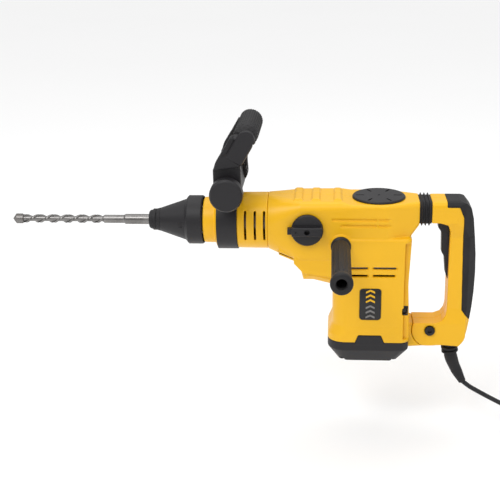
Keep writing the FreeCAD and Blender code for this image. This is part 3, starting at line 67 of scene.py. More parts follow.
def make_camera():
    """Camera placed by its target, distance, angles and roll."""
    a, e, roll = VIEW_AZIMUTH, VIEW_ELEVATION, VIEW_ROLL
    back = Vector((math.sin(a) * math.cos(e), -math.cos(a) * math.cos(e), math.sin(e)))
    level = Vector((math.cos(a), math.sin(a), 0.0))
    upright = Vector((-math.sin(a) * math.sin(e), math.cos(a) * math.sin(e), math.cos(e)))
    right = math.cos(roll) * level + math.sin(roll) * upright
    up = -math.sin(roll) * level + math.cos(roll) * upright
    turn = Matrix((right, up, back)).transposed().to_4x4()
    data = bpy.data.cameras.new("camera")
    data.lens = 72.0
    data.sensor_width = 36.0
    camera = bpy.data.objects.new("camera", data)
    camera.matrix_world = Matrix.Translation(VIEW_TARGET + VIEW_DISTANCE * back) @ turn
    bpy.context.collection.objects.link(camera)
    bpy.context.scene.camera = camera
    bpy.context.scene.view_settings.view_transform = "Standard"


def area_light(name, place, aim, size, watts):
    """Rectangular lamp aimed at a point."""
    data = bpy.data.lights.new(name, "AREA")
    data.shape = "RECTANGLE"
    data.size, data.size_y = size
    data.energy = watts
    light = bpy.data.objects.new(name, data)
    light.location = place
    light.rotation_mode = "QUATERNION"
    light.rotation_quaternion = (Vector(aim) - Vector(place)).to_track_quat("-Z", "Y")
    bpy.context.collection.objects.link(light)


def make_stage():
    """White floor, a world that is brighter overhead, and three soft lamps."""
    corners = [(x * FLOOR_REACH, y * FLOOR_REACH, FLOOR_Z) for x, y in ((-1, -1), (1, -1), (1, 1), (-1, 1))]
    floor = mesh_piece("floor", corners, [(0, 1, 2, 3)], paper_white())
    world = bpy.data.worlds.new("studio")
    bpy.context.scene.world = world
    world.use_nodes = True
    sky = world.node_tree.nodes["Background"]
    sky.inputs["Color"].default_value = (1.0, 1.0, 1.0, 1.0)
    direction = world.node_tree.nodes.new("ShaderNodeTexCoord")
    split = world.node_tree.nodes.new("ShaderNodeSeparateXYZ")
    fall = world.node_tree.nodes.new("ShaderNodeMapRange")
    fall.inputs["To Min"].default_value = HORIZON_LIGHT
    fall.inputs["To Max"].default_value = ZENITH_LIGHT
    world.node_tree.links.new(direction.outputs["Generated"], split.inputs["Vector"])
    world.node_tree.links.new(split.outputs["Z"], fall.inputs["Value"])
    world.node_tree.links.new(fall.outputs["Result"], sky.inputs["Strength"])
    centre = (-0.3, 0.0, 0.0)
    area_light("key", (-1.2, -1.5, 2.1), centre, (1.2, 0.9), 24.0)
    area_light("fill", (1.6, -1.5, 0.8), centre, (1.0, 1.0), 3.0)
    area_light("top", (-0.2, 0.6, 2.2), centre, (2.0, 1.0), 8.0)


# ---------------------------------------------------------------- mesh helpers
def mesh_piece(name, points, faces, material, smooth=False):
    """New object from points in metres and faces."""
    data = bpy.data.meshes.new(name)
    data.from_pydata([tuple(p) for p in points], [], faces)
    data.update()
    data.materials.append(material)
    data.polygons.foreach_set("use_smooth", [smooth] * len(data.polygons))
    piece = bpy.data.objects.new(name, data)
    bpy.context.collection.objects.link(piece)
    return piece


def tube_faces(rings, per_ring, close_ends=True):
    """Quads between successive rings of per_ring points, capped at both ends."""
    faces = []
    for i in range(rings - 1):
        for j in range(per_ring):
            k = (j + 1) % per_ring
            faces.append((i * per_ring + j, i * per_ring + k, (i + 1) * per_ring + k, (i + 1) * per_ring + j))
    if close_ends:
        faces.append(tuple(range(per_ring))[::-1])
        last = (rings - 1) * per_ring
        faces.append(tuple(range(last, last + per_ring)))
    return faces


def apply_modifiers(piece):
    """Makes the modifiers' result the piece's own mesh."""
    graph = bpy.context.evaluated_depsgraph_get()
    data = bpy.data.meshes.new_from_object(piece.evaluated_get(graph))
    piece.modifiers.clear()
    piece.data = data


def add_block(piece, x0, x1, y0, y1, z0, z1):
    """Adds a closed block, in millimetres, to the piece's mesh."""
    mesh = bmesh.new()
    mesh.from_mesh(piece.data)
    made = bmesh.ops.create_cube(mesh, size=1.0)
    for vert in made["verts"]:
        share = vert.co + Vector((0.5, 0.5, 0.5))
        vert.co = Vector((x0 + (x1 - x0) * share.x, y0 + (y1 - y0) * share.y, z0 + (z1 - z0) * share.z)) * MM
    mesh.to_mesh(piece.data)
    mesh.free()


def moulded_copy(name, node, body, material, voxel, rounds, most_faces, block=None):
    """The CAD node's surface with its edges rounded off, as a moulding has them."""
    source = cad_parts[node]
    piece = bpy.data.objects.new(name, source.data.copy())
    bpy.context.collection.objects.link(piece)
    if block:
        add_block(piece, *block)
    remesh = piece.modifiers.new("remesh", "REMESH")
    remesh.mode = "VOXEL"
    remesh.voxel_size = voxel
    smooth = piece.modifiers.new("smooth", "SMOOTH")
    smooth.factor = 0.5
    smooth.iterations = rounds
    apply_modifiers(piece)
    if len(piece.data.polygons) * 2 > most_faces:
        thin = piece.modifiers.new("thin", "DECIMATE")
        thin.ratio = most_faces / (len(piece.data.polygons) * 2)
        apply_modifiers(piece)
    piece.data.materials.clear()
    piece.data.materials.append(material)
    piece.data.polygons.foreach_set("use_smooth", [True] * len(piece.data.polygons))
    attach(piece, body)
    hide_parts(node)


# ---------------------------------------------------------------- materials
class Shade:
    """A node tree under construction, with the few patterns that the finishes share."""

    def __init__(self, name):
        self.material = bpy.data.materials.new(name)
        self.material.use_nodes = True
        self.tree = self.material.node_tree
        self.shader = self.tree.nodes["Principled BSDF"]
        self.place = self.tree.nodes.new("ShaderNodeTexCoord").outputs["Object"]

    def node(self, kind, **settings):
        made = self.tree.nodes.new(kind)
        for key, value in settings.items():
            setattr(made, key, value)
        return made

    def link(self, output, target):
        self.tree.links.new(output, target)

    def stretched(self, scale):
        mapping = self.node("ShaderNodeMapping")
        mapping.inputs["Scale"].default_value = scale
        self.link(self.place, mapping.inputs["Vector"])
        return mapping.outputs["Vector"]

    def noise(self, scale, detail=3.0, rough=0.55, where=None):
        made = self.node("ShaderNodeTexNoise")
        made.inputs["Scale"].default_value = scale
        made.inputs["Detail"].default_value = detail
        made.inputs["Roughness"].default_value = rough
        self.link(where or self.place, made.inputs["Vector"])
        return made.outputs["Fac"]

    def cells(self, scale, where=None):
        made = self.node("ShaderNodeTexVoronoi")
        made.inputs["Scale"].default_value = scale
        self.link(where or self.place, made.inputs["Vector"])
        return made.outputs["Distance"]

    def spread(self, value, low, high, out_low, out_high):
        made = self.node("ShaderNodeMapRange")
        for key, number in zip(("From Min", "From Max", "To Min", "To Max"), (low, high, out_low, out_high)):
            made.inputs[key].default_value = number
        self.link(value, made.inputs["Value"])
        return made.outputs["Result"]

    def sum(self, first, second, operation="ADD"):
        made = self.node("ShaderNodeMath", operation=operation)
        self.link(first, made.inputs[0])
        self.link(second, made.inputs[1])
        return made.outputs["Value"]

    def scaled(self, value, factor):
        made = self.node("ShaderNodeMath", operation="MULTIPLY")
        self.link(value, made.inputs[0])
        made.inputs[1].default_value = factor
        return made.outputs["Value"]

    def mix(self, share, first, second):
        made = self.node("ShaderNodeMix", data_type="RGBA")
        self.link(share, made.inputs["Factor"])
        for colour, socket in ((first, made.inputs["A"]), (second, made.inputs["B"])):
            if isinstance(colour, bpy.types.NodeSocket):
                self.link(colour, socket)
            else:
                socket.default_value = (*colour, 1.0)
        return made.outputs["Result"]

    def edges(self, radius):
        """Share from 0 on flat faces to 1 on corners within radius, and the rounded normal."""
        bevel = self.node("ShaderNodeBevel", samples=4)
        bevel.inputs["Radius"].default_value = radius
        plain = self.node("ShaderNodeNewGeometry").outputs["Normal"]
        dot = self.node("ShaderNodeVectorMath", operation="DOT_PRODUCT")
        self.link(bevel.outputs["Normal"], dot.inputs[0])
        self.link(plain, dot.inputs[1])
        return self.spread(dot.outputs["Value"], 1.0, 0.8, 0.0, 1.0), bevel.outputs["Normal"]

    def bump(self, height, strength, distance, normal=None):
        made = self.node("ShaderNodeBump")
        made.inputs["Strength"].default_value = strength
        made.inputs["Distance"].default_value = distance
        self.link(height, made.inputs["Height"])
        if normal is not None:
            self.link(normal, made.inputs["Normal"])
        self.link(made.outputs["Normal"], self.shader.inputs["Normal"])

    def colour(self, output):
        self.link(output, self.shader.inputs["Base Color"])

    def roughness(self, output):
        self.link(output, self.shader.inputs["Roughness"])

    def fixed(self, **sockets):
        for key, value in sockets.items():
            self.shader.inputs[key.replace("_", " ")].default_value = value


def paper_white():
    """Matt white floor, faintly clouded."""
    shade = Shade("studio_floor")
    shade.colour(shade.mix(shade.noise(0.8), (0.93, 0.93, 0.93), (0.95, 0.95, 0.95)))
    shade.fixed(Roughness=0.9, Specular_IOR_Level=0.1)
    return shade.material


def moulded_plastic(name, base, worn, rough, grain_scale, grain, edge_radius=0.0008, wear=0.25):
    """Injection-moulded plastic: fine eroded texture, slight cloudiness and paler rubbed corners."""
    shade = Shade(name)
    cloud = shade.noise(14.0, 4.0)
    scuff = shade.noise(260.0, 6.0, 0.7)
    corner, normal = shade.edges(edge_radius)
    darker = tuple(c * 0.93 for c in base)
    body = shade.mix(cloud, darker, base)
    rubbed = shade.scaled(shade.sum(corner, shade.spread(scuff, 0.35, 0.75, 0.0, 1.0), "MULTIPLY"), wear)
    shade.colour(shade.mix(rubbed, body, worn))
    shade.roughness(shade.spread(shade.sum(cloud, scuff), 0.6, 1.4, rough - 0.05, rough + 0.07))
    shade.bump(shade.noise(grain_scale, 2.0, 0.6), 0.35, grain, normal)
    shade.fixed(Specular_IOR_Level=0.36)
    return shade.material


def soft_rubber(name, base, pale, cell_scale):
    """Soft overmoulding: pebbled skin with a faint bloom."""
    shade = Shade(name)
    bloom = shade.noise(30.0, 5.0, 0.6)
    dust = shade.noise(900.0, 3.0)
    corner, normal = shade.edges(0.001)
    shade.colour(shade.mix(shade.spread(shade.sum(bloom, shade.scaled(corner, 0.35)), 0.35, 1.0, 0.0, 1.0),
                           base, pale))
    shade.roughness(shade.spread(dust, 0.3, 0.7, 0.52, 0.68))
    shade.bump(shade.cells(cell_scale), 0.4, 0.00012, normal)
    shade.fixed(Sheen_Weight=0.03, Sheen_Roughness=0.45, Specular_IOR_Level=0.3)
    return shade.material


def machined_steel(name, base, dark, rough, streak):
    """Turned or ground steel: fine tool marks across the axis, cloudy oxide and bright corners."""
    shade = Shade(name)
    marks = shade.noise(60.0, 6.0, 0.7, shade.stretched(streak))
    cloud = shade.noise(55.0, 5.0, 0.65)
    corner, normal = shade.edges(0.0004)
    tone = shade.spread(shade.sum(marks, cloud), 0.75, 1.3, 0.0, 1.0)
    bright = tuple(min(c * 1.3, 1.0) for c in base)
    shade.colour(shade.mix(shade.scaled(corner, 0.5), shade.mix(tone, dark, base), bright))
    shade.roughness(shade.spread(cloud, 0.3, 0.7, rough - 0.08, rough + 0.1))
    shade.bump(marks, 0.25, 0.00006, normal)
    shade.fixed(Metallic=1.0)
    return shade.material


def cast_metal(name, base, dark, rough):
    """Die-cast or sintered metal with a granular skin."""
    shade = Shade(name)
    cloud = shade.noise(40.0, 5.0)
    grain = shade.noise(1400.0, 3.0)
    shade.colour(shade.mix(cloud, dark, base))
    shade.roughness(shade.spread(grain, 0.3, 0.7, rough - 0.06, rough + 0.08))
    shade.bump(grain, 0.4, 0.00008)
    shade.fixed(Metallic=0.9)
    return shade.material


def enamelled_wire():
    """Wound copper: fine turns under clear enamel."""
    shade = Shade("enamelled_copper")
    turns = shade.noise(30.0, 2.0, 0.5, shade.stretched((1.0, 1.0, 40.0)))
    shade.colour(shade.mix(turns, (0.28, 0.07, 0.02), (0.62, 0.22, 0.08)))
    shade.roughness(shade.spread(turns, 0.3, 0.7, 0.28, 0.45))
    shade.bump(turns, 0.6, 0.0003)
    shade.fixed(Metallic=0.8, Coat_Weight=0.4)
    return shade.material


def board_green():
    """Circuit board with its tracks showing under the lacquer."""
    shade = Shade("circuit_board")
    tracks = shade.cells(300.0)
    shade.colour(shade.mix(shade.spread(tracks, 0.2, 0.5, 0.0, 1.0), (0.01, 0.12, 0.05), (0.03, 0.25, 0.1)))
    shade.roughness(shade.spread(tracks, 0.0, 1.0, 0.3, 0.5))
    shade.bump(tracks, 0.2, 0.0001)
    return shade.material


YELLOW = (0.86, 0.465, 0.006)
YELLOW_WORN = (0.92, 0.58, 0.06)
CHARCOAL = (0.0125, 0.0115, 0.0135)
CHARCOAL_WORN = (0.10, 0.10, 0.105)


def make_materials():
    """Every finish, under the name of its material slot."""
    return {
        "housing_yellow": moulded_plastic("housing_yellow", YELLOW, YELLOW_WORN, 0.36, 1500.0, 0.00008),
        "charcoal_plastic": moulded_plastic("charcoal_plastic", CHARCOAL, CHARCOAL_WORN, 0.46, 1900.0,
                                            0.00012),
        "nameplate_black": moulded_plastic("nameplate_black", (0.012, 0.012, 0.013), (0.05, 0.05, 0.05), 0.3,
                                           2500.0, 0.00003),
        "soft_rubber": soft_rubber("soft_rubber", (0.010, 0.0095, 0.0105), (0.021, 0.020, 0.022), 900.0),
        "bright_steel": machined_steel("bright_steel", (0.27, 0.262, 0.255), (0.15, 0.144, 0.14), 0.34,
                                       (40.0, 1.0, 1.0)),
        "dark_steel": machined_steel("dark_steel", (0.05, 0.05, 0.053), (0.02, 0.02, 0.021), 0.4,
                                     (1.0, 30.0, 1.0)),
        "cast_aluminium": cast_metal("cast_aluminium", (0.60, 0.60, 0.61), (0.42, 0.42, 0.43), 0.45),
        "copper_windings": enamelled_wire(),
        "bronze": cast_metal("bronze", (0.45, 0.28, 0.12), (0.32, 0.19, 0.08), 0.4),
        "carbide": cast_metal("carbide", (0.26, 0.25, 0.24), (0.16, 0.15, 0.145), 0.4),
        "circuit_board": board_green(),
        "cord_jacket": soft_rubber("cord_jacket", (0.014, 0.014, 0.015), (0.03, 0.03, 0.032), 2600.0),
    }


def dress_nodes(finishes):
    """Gives each CAD node the finish that the record names for it."""
    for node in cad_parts.values():
        for place in node.material_slots:
            place.material = finishes[place.material.name.split(".")[0]]


# ---------------------------------------------------------------- mains lead
CORD_D = 7.5 * MM
ROUTE = [(12.3, 0.0, -214.6), (22.0, 0.0, -223.5), (38.0, 0.0, -233.0), (62.0, -0.5, -246.5),
         (92.0, -1.0, -262.0), (118.0, -1.5, -276.0), (140.0, -1.5, -288.0), (156.0, -0.8, -295.0)]
COIL_X = 170.0 * MM
COIL_Y = 50.0 * MM
COIL_RADII = (50.0 * MM, 42.0 * MM, 34.0 * MM)
COIL_LAYERS = 4
TURN_HOLD = 300.0       # degrees from one change of turn to the next
TURN_CHANGE = 60.0      # degrees that a change takes
PLUG_X = 212.0 * MM
PLUG_Y0 = 34.0 * MM
PLUG_Z = -257.0 * MM
PIN_OFF_AXIS = 9.5 * MM
PIN_SIDES = 20
PLUG_SIDES = 48
PLUG_LEAD_IN = 12.0 * MM    # straight run of the lead before the plug


def smooth_step(t):
    """Ease from 0 to 1, level at both ends."""
    t = max(0.0, min(1.0, t))
    return t * t * (3.0 - 2.0 * t)


def coil_points():
    """Turns side by side in layers; each change to the next turn comes 60 degrees before the last one."""
    low = FLOOR_Z + CORD_D / 2
    stations = []
    for layer in range(COIL_LAYERS):
        radii = COIL_RADII if layer % 2 == 0 else COIL_RADII[::-1]
        stations += [(r, low + layer * CORD_D) for r in radii]
    points = []
    start = -90.0
    leave = start + TURN_HOLD * len(stations) - 40.0
    step = 15.0
    angle = start
    while angle < leave:
        passed = angle - start
        index = min(int(passed // TURN_HOLD), len(stations) - 1)
        share = smooth_step((passed - index * TURN_HOLD) / TURN_CHANGE) if index else 1.0
        r0, z0 = stations[max(index - 1, 0)]
        r1, z1 = stations[index]
        turn = math.radians(angle)
        r = r0 + (r1 - r0) * share
        points.append((COIL_X + r * math.cos(turn), COIL_Y + r * math.sin(turn), z0 + (z1 - z0) * share))
        angle += step
    # the last turn climbs into the plug on top of the coil
    end_y = PLUG_Y0 - PLUG_LEAD_IN - COIL_Y
    end_turn = math.atan2(end_y, PLUG_X - COIL_X)
    end_r = math.hypot(end_y, PLUG_X - COIL_X)
    begin = math.radians(leave % 360.0) - 2 * math.pi
    r1, z1 = stations[-1]
    for k in range(8):
        t = k / 7
        turn = begin + (end_turn - begin) * t
        r = r1 + (end_r - r1) * smooth_step(t)
        climb = (PLUG_Z - z1) * smooth_step(t)
        points.append((COIL_X + r * math.cos(turn), COIL_Y + r * math.sin(turn), z1 + climb))
    points.append((PLUG_X, PLUG_Y0 + 0.004, PLUG_Z))
    points.append((PLUG_X, PLUG_Y0 + 0.016, PLUG_Z))
    return points


def make_cord(finishes):
    """Mains lead from the guard to the coil, with its plug."""
    points = [tuple(c * MM for c in p) for p in ROUTE] + coil_points()
    data = bpy.data.curves.new("mains_lead", "CURVE")
    data.dimensions = "3D"
    data.bevel_depth = CORD_D / 2
    data.bevel_resolution = 5
    data.resolution_u = 6
    spline = data.splines.new("NURBS")
    spline.points.add(len(points) - 1)
    for knot, point in zip(spline.points, points):
        knot.co = (*point, 1.0)
    spline.order_u = 3
    spline.use_endpoint_u = True
    data.materials.append(finishes["cord_jacket"])
    lead = bpy.data.objects.new("mains_lead", data)
    bpy.context.collection.objects.link(lead)
    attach(lead, HANDLE)
    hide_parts("power_cord", "cord_coil")
    plug = make_plug(finishes)


def superellipse_ring(y, half_x, half_z, power):
    """Cross-section of the plug, an ellipse for power 2 and squarer above it."""
    ring = []
    for k in range(PLUG_SIDES):
        t = 2 * math.pi * k / PLUG_SIDES
        c, s = math.cos(t), math.sin(t)
        ring.append((PLUG_X + half_x * math.copysign(abs(c) ** (2 / power), c), y,
                     PLUG_Z + half_z * math.copysign(abs(s) ** (2 / power), s)))
    return ring


def make_plug(finishes):
    """Moulded two-pin contour plug: ribbed strain relief, waisted grip, flat face and two pins."""
    sections = [(0.0, 4.6, 4.6, 2.0), (0.2, 5.0, 5.0, 2.0)]
    for k in range(4):
        y = 1.0 + 3.0 * k
        for dy, half in ((0.0, 5.2), (1.6, 5.3), (1.8, 4.5), (2.8, 4.6)):
            sections.append((y + dy, half + 0.5 * k, half + 0.4 * k, 2.0))
    sections += [(13.5, 8.5, 8.0, 2.2), (17.0, 12.5, 10.4, 2.5), (21.0, 14.0, 11.2, 3.0),
                 (27.0, 13.2, 10.8, 3.2), (31.0, 14.2, 11.4, 3.4), (33.0, 16.4, 12.5, 3.6),
                 (34.0, 16.8, 12.7, 3.8), (38.6, 16.8, 12.7, 3.8), (39.6, 16.0, 12.0, 3.8)]
    points = []
    for y, half_x, half_z, power in sections:
        points += superellipse_ring(PLUG_Y0 + y * MM, half_x * MM, half_z * MM, power)
    faces = tube_faces(len(sections), PLUG_SIDES)
    plug = mesh_piece("mains_plug", points, faces, finishes["cord_jacket"], True)
    plug.data.materials.append(finishes["bright_steel"])
    mesh = bmesh.new()
    mesh.from_mesh(plug.data)
    for side in (-1, 1):
        pin_x = PLUG_X + side * PIN_OFF_AXIS
        profile = [(38.0, 2.4), (52.0, 2.4), (57.0, 2.4), (58.6, 1.6), (59.0, 0.4)]
        rings = []
        for y, r in profile:
            turns = [2 * math.pi * k / PIN_SIDES for k in range(PIN_SIDES)]
            rings.append([mesh.verts.new((pin_x + r * MM * math.cos(a), PLUG_Y0 + y * MM,
                                          PLUG_Z + r * MM * math.sin(a))) for a in turns])
        for low, high in zip(rings, rings[1:]):
            for k in range(PIN_SIDES):
                onward = (k + 1) % PIN_SIDES
                face = mesh.faces.new((low[k], low[onward], high[onward], high[k]))
                face.material_index = 1
                face.smooth = True
        for ring in (rings[0], rings[-1]):
            mesh.faces.new(ring).material_index = 1
    bmesh.ops.recalc_face_normals(mesh, faces=mesh.faces)
    mesh.to_mesh(plug.data)
    mesh.free()
    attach(plug, HANDLE)
    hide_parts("plug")
    return plug


# ---------------------------------------------------------------- moulded shells
def make_mouldings(finishes):
    """Mouldings with rounded corners: name, CAD node, body, slot, voxel in mm, smoothing rounds, faces."""
    rows = [
        ("housing_left", "main_shell_left", BODY, "housing_yellow", 0.85, 3, 190000),
        ("housing_right", "main_shell_right", BODY, "housing_yellow", 0.85, 3, 190000),
        ("motor_base", "base_cap", BODY, "charcoal_plastic", 1.0, 4, 120000),
        ("nose_barrel", "front_barrel", BODY, "housing_yellow", 0.8, 3, 150000),
        ("grip_shell_left", "handle_shell_left", HANDLE, "housing_yellow", 0.9, 5, 150000),
        ("grip_shell_right", "handle_shell_right", HANDLE, "housing_yellow", 0.9, 5, 150000),
        ("grip_skin", "handle_overmold", HANDLE, "soft_rubber", 0.8, 5, 120000),
        ("clamp_saddle", "clamp_band", "clamp", "charcoal_plastic", 0.8, 3, 120000),
    ]
    # wall behind the step between the motor and the narrow spine
    blocks = {"housing_left": (-95.9, -92.9, -49.8, -34.0, -121.0, 38.0),
              "housing_right": (-95.9, -92.9, 34.0, 49.8, -121.0, 38.0)}
    for name, node, body, slot, voxel, rounds, most in rows:
        moulded_copy(name, node, body, finishes[slot], voxel * MM, rounds, most, blocks.get(name))


# ---------------------------------------------------------------- shape helpers in millimetres
def new_piece(name, parts, material, body, nodes=()):
    """One piece from closed shells, each (points in millimetres, faces); it rides on the body, if any."""
    points = []
    faces = []
    for shell_points, shell_faces in parts:
        first = len(points)
        points += [tuple(c * MM for c in p) for p in shell_points]
        faces += [tuple(first + i for i in face) for face in shell_faces]
    piece = mesh_piece(name, points, faces, material, True)
    mesh = bmesh.new()
    mesh.from_mesh(piece.data)
    bmesh.ops.recalc_face_normals(mesh, faces=mesh.faces)
    mesh.to_mesh(piece.data)
    mesh.free()
    if body:
        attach(piece, body)
    if nodes:
        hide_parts(*nodes)
    return piece


def fuse_shells(piece, voxel, rounds, most_faces=None):
    """Joins the piece's overlapping shells into one skin with softened creases."""
    remesh = piece.modifiers.new("remesh", "REMESH")
    remesh.mode = "VOXEL"
    remesh.voxel_size = voxel * MM
    remesh.use_smooth_shade = True
    smooth = piece.modifiers.new("smooth", "SMOOTH")
    smooth.factor = 0.5
    smooth.iterations = rounds
    finish = piece.data.materials[0]
    apply_modifiers(piece)
    if most_faces and len(piece.data.polygons) * 2 > most_faces:
        thin = piece.modifiers.new("thin", "DECIMATE")
        thin.ratio = most_faces / (len(piece.data.polygons) * 2)
        apply_modifiers(piece)
    piece.data.materials.clear()
    piece.data.materials.append(finish)
    piece.data.polygons.foreach_set("use_smooth", [True] * len(piece.data.polygons))


def closed_faces(rings, per):
    """Faces between rings, with the last ring joined back to the first."""
    last = (rings - 1) * per
    seam = [(last + j, last + (j + 1) % per, (j + 1) % per, j) for j in range(per)]
    return tube_faces(rings, per, False) + seam


def unit(x, y, z):
    return Vector((x, y, z)).normalized()


def oval(centre, across, upward, half_a, half_u, power=2.0, count=64, relief=None):
    """Superellipse ring; relief(angle) adds to its radius."""
    ring = []
    for k in range(count):
        t = 2 * math.pi * k / count
        c, s = math.cos(t), math.sin(t)
        a = half_a * math.copysign(abs(c) ** (2 / power), c)
        u = half_u * math.copysign(abs(s) ** (2 / power), s)
        if relief:
            grow = 1.0 + relief(t) / math.hypot(a, u)
            a, u = a * grow, u * grow
        ring.append(centre + across * a + upward * u)
    return ring


def shell_of(rings):
    """Closed shell through rings of equal length."""
    return [p for ring in rings for p in ring], tube_faces(len(rings), len(rings[0]))


def inset(outline, depth):
    """Closed outline moved inward along its corner bisectors."""
    turned = []
    count = len(outline)
    area = sum(a[0] * b[1] - b[0] * a[1] for a, b in zip(outline, outline[1:] + outline[:1]))
    way = 1.0 if area > 0 else -1.0
    for k in range(count):
        p0, p1, p2 = (Vector(outline[(k + j) % count]) for j in (-1, 0, 1))
        d0, d1 = (p1 - p0).normalized(), (p2 - p1).normalized()
        n0, n1 = Vector((-d0.y, d0.x)), Vector((-d1.y, d1.x))
        bisector = (n0 + n1).normalized()
        reach = depth / max(bisector.dot(n0), 0.4)
        turned.append(tuple(p1 + bisector * reach * way))
    return turned


def plate(outline, y0, y1, edge):
    """Slab between two Y planes from an (x, z) outline, its rims rounded."""
    rings = []
    step = (y1 - y0) / abs(y1 - y0) * edge
    for y, depth in ((y0, edge), (y0 + step * 0.3, edge * 0.3), (y0 + step, 0.0), (y1 - step, 0.0),
                     (y1 - step * 0.3, edge * 0.3), (y1, edge)):
        rings.append([Vector((x, y, z)) for x, z in (inset(outline, depth) if depth else outline)])
    return shell_of(rings)


def arc(cx, cz, r, start, end, steps):
    """Points along an arc, its angles in degrees."""
    turns = [math.radians(start + (end - start) * k / steps) for k in range(steps + 1)]
    return [(cx + r * math.cos(t), cz + r * math.sin(t)) for t in turns]


def lathe(profile, origin, axis, side, count=96, relief=None):
    """Turned shell from (distance along the axis, radius); relief(angle, distance) adds to the radius."""
    up = axis.cross(side)
    rings = []
    for t, r in profile:
        bulge = (lambda a, t=t: relief(a, t)) if relief else None
        rings.append(oval(origin + axis * t, side, up, r, r, 2.0, count, bulge))
    return shell_of(rings)


# ---------------------------------------------------------------- front D-handle
GRIP_X, GRIP_Z = -331.0, 212.0
SWIVEL_X, SWIVEL_Z = -360.0, 127.5
TILT = math.radians(30.0)
ARM_Y = 63.2            # middle of each arm
ARM_THICK = 9.8         # half thickness of an arm
ARM_WIDE = 17.0         # half width of an arm
GRIP_R = 17.3
CORNER_R = 16.0
ARM_LOW = -40.0         # foot of the straight arm, measured along it from the grip


def loop_stations(step):
    """Middle line of the loop as (y, along, turn, distance): up one arm, over the grip, down the other."""
    straight = -CORNER_R - ARM_LOW
    across = 2 * (ARM_Y - CORNER_R)
    quarter = CORNER_R * math.pi / 2
    total = 2 * straight + 2 * quarter + across
    count = int(total / step)
    out = []
    for k in range(count + 1):
        d = total * k / count
        mirror = d > total / 2
        e = total - d if mirror else d
        if e < straight:
            y, along, turn = -ARM_Y, ARM_LOW + e, 0.0
        elif e < straight + quarter:
            turn = (e - straight) / CORNER_R
            y = -ARM_Y + CORNER_R * (1 - math.cos(turn))
            along = -CORNER_R + CORNER_R * math.sin(turn)
        else:
            y, along, turn = -ARM_Y + CORNER_R + (e - straight - quarter), 0.0, math.pi / 2
        if mirror:
            y, turn = -y, math.pi - turn
        out.append((y, along, turn, e, straight, quarter))
    return out


def loop_ring(station, grow, relief=None, count=72):
    """Section of the loop at a station: squarish on the arms, round at the grip."""
    y, along, turn, e, straight, quarter = station
    arm = unit(math.sin(TILT), 0, math.cos(TILT))
    wide = unit(math.cos(TILT), 0, -math.sin(TILT))
    centre = Vector((GRIP_X, y, GRIP_Z)) + arm * along
    outward = Vector((0, -1, 0)) * math.cos(turn) + arm * math.sin(turn)
    share = smooth_step((e - straight) / (quarter + 12.0))
    thick = ARM_THICK + (GRIP_R - ARM_THICK) * share
    width = ARM_WIDE + (GRIP_R - ARM_WIDE) * share
    power = 4.5 - 2.5 * smooth_step((e - straight + 4.0) / (0.7 * quarter))
    bulge = (lambda a: relief(a, e)) if relief else None
    return oval(centre, wide, outward, width + grow, thick + grow, power, count, bulge)


def arm_outline(points):
    """(across, along) in the arm's own plane to (x, z)."""
    out = []
    for w, along in points:
        out.append((GRIP_X + w * math.cos(TILT) + along * math.sin(TILT),
                    GRIP_Z - w * math.sin(TILT) + along * math.cos(TILT)))
    return out


RUBBER_START = 34.0     # distance up the arm at which the soft cover starts


def make_d_handle(finishes):
    """Frame with feet, side panels and brows, and its soft cover with small studs."""
    bar = []
    for station in loop_stations(2.0):
        e = station[3]
        groove = -1.6 if RUBBER_START - 3.5 < e < RUBBER_START + 0.5 else 0.0
        under = -1.2 if e >= RUBBER_START + 0.5 else 0.0
        bar.append(loop_ring(station, groove + under))
    parts = [shell_of(bar)]
    foot = [(-381.5, 160.0), (-374.5, 172.0), (-360.0, 176.0), (-341.0, 170.0), (-339.5, 160.0),
            (-339.5, 142.0)]
    foot += arc(SWIVEL_X, SWIVEL_Z, 21.5, 0.0, -180.0, 18) + [(-381.5, 142.0)]
    panel = arm_outline([(-10.5, -42.0)] + arc(2.5, -4.0, 13.0, 180.0, 0.0, 16) + [(15.5, -42.0)])
    brow = [(-380.5, 160.5), (-377.0, 172.0), (-366.0, 190.0), (-333.5, 178.0), (-339.5, 166.5)]
    for side in (-1, 1):
        parts.append(plate(foot, side * 53.6, side * 66.5, 1.5))
        parts.append(plate(panel, side * 58.0, side * 74.0, 1.2))
        parts.append(plate(brow, side * 53.6, side * 73.0, 1.2))
    frame_piece = new_piece("front_handle_frame", parts, finishes["charcoal_plastic"], "d_handle",
                            ["d_handle_frame"])
    fuse_shells(frame_piece, 0.8, 2, 150000)
    cut_swivel_bore(frame_piece)

    def dots(angle, e):
        """Rows of small rounded studs over the soft cover."""
        row = math.sin(2 * math.pi * e / 3.4)
        column = math.sin(angle * 16.0 + (math.pi if math.floor(e / 3.4) % 2 else 0.0))
        return 0.75 * max(0.0, row) ** 0.7 * max(0.0, column) ** 0.7

    cover = [st for st in loop_stations(0.55) if st[3] > RUBBER_START]
    rings = [loop_ring(cover[0], -3.0, None, 128), loop_ring(cover[0], -0.4, None, 128)]
    rings += [loop_ring(st, 0.45, dots, 128) for st in cover[2:-2]]
    rings += [loop_ring(cover[-1], -0.4, None, 128), loop_ring(cover[-1], -3.0, None, 128)]
    strip = arm_outline([(-18.3, -44.0), (-18.9, -42.0), (-18.9, -12.0), (-12.2, -12.0), (-12.2, -38.0),
                         (-14.5, -44.0)])
    parts = [shell_of(rings)]
    for side in (-1, 1):
        parts.append(plate(strip, side * 53.0, side * 73.9, 0.9))
    new_piece("front_handle_cover", parts, finishes["soft_rubber"], "d_handle",
              ["d_handle_grip"])


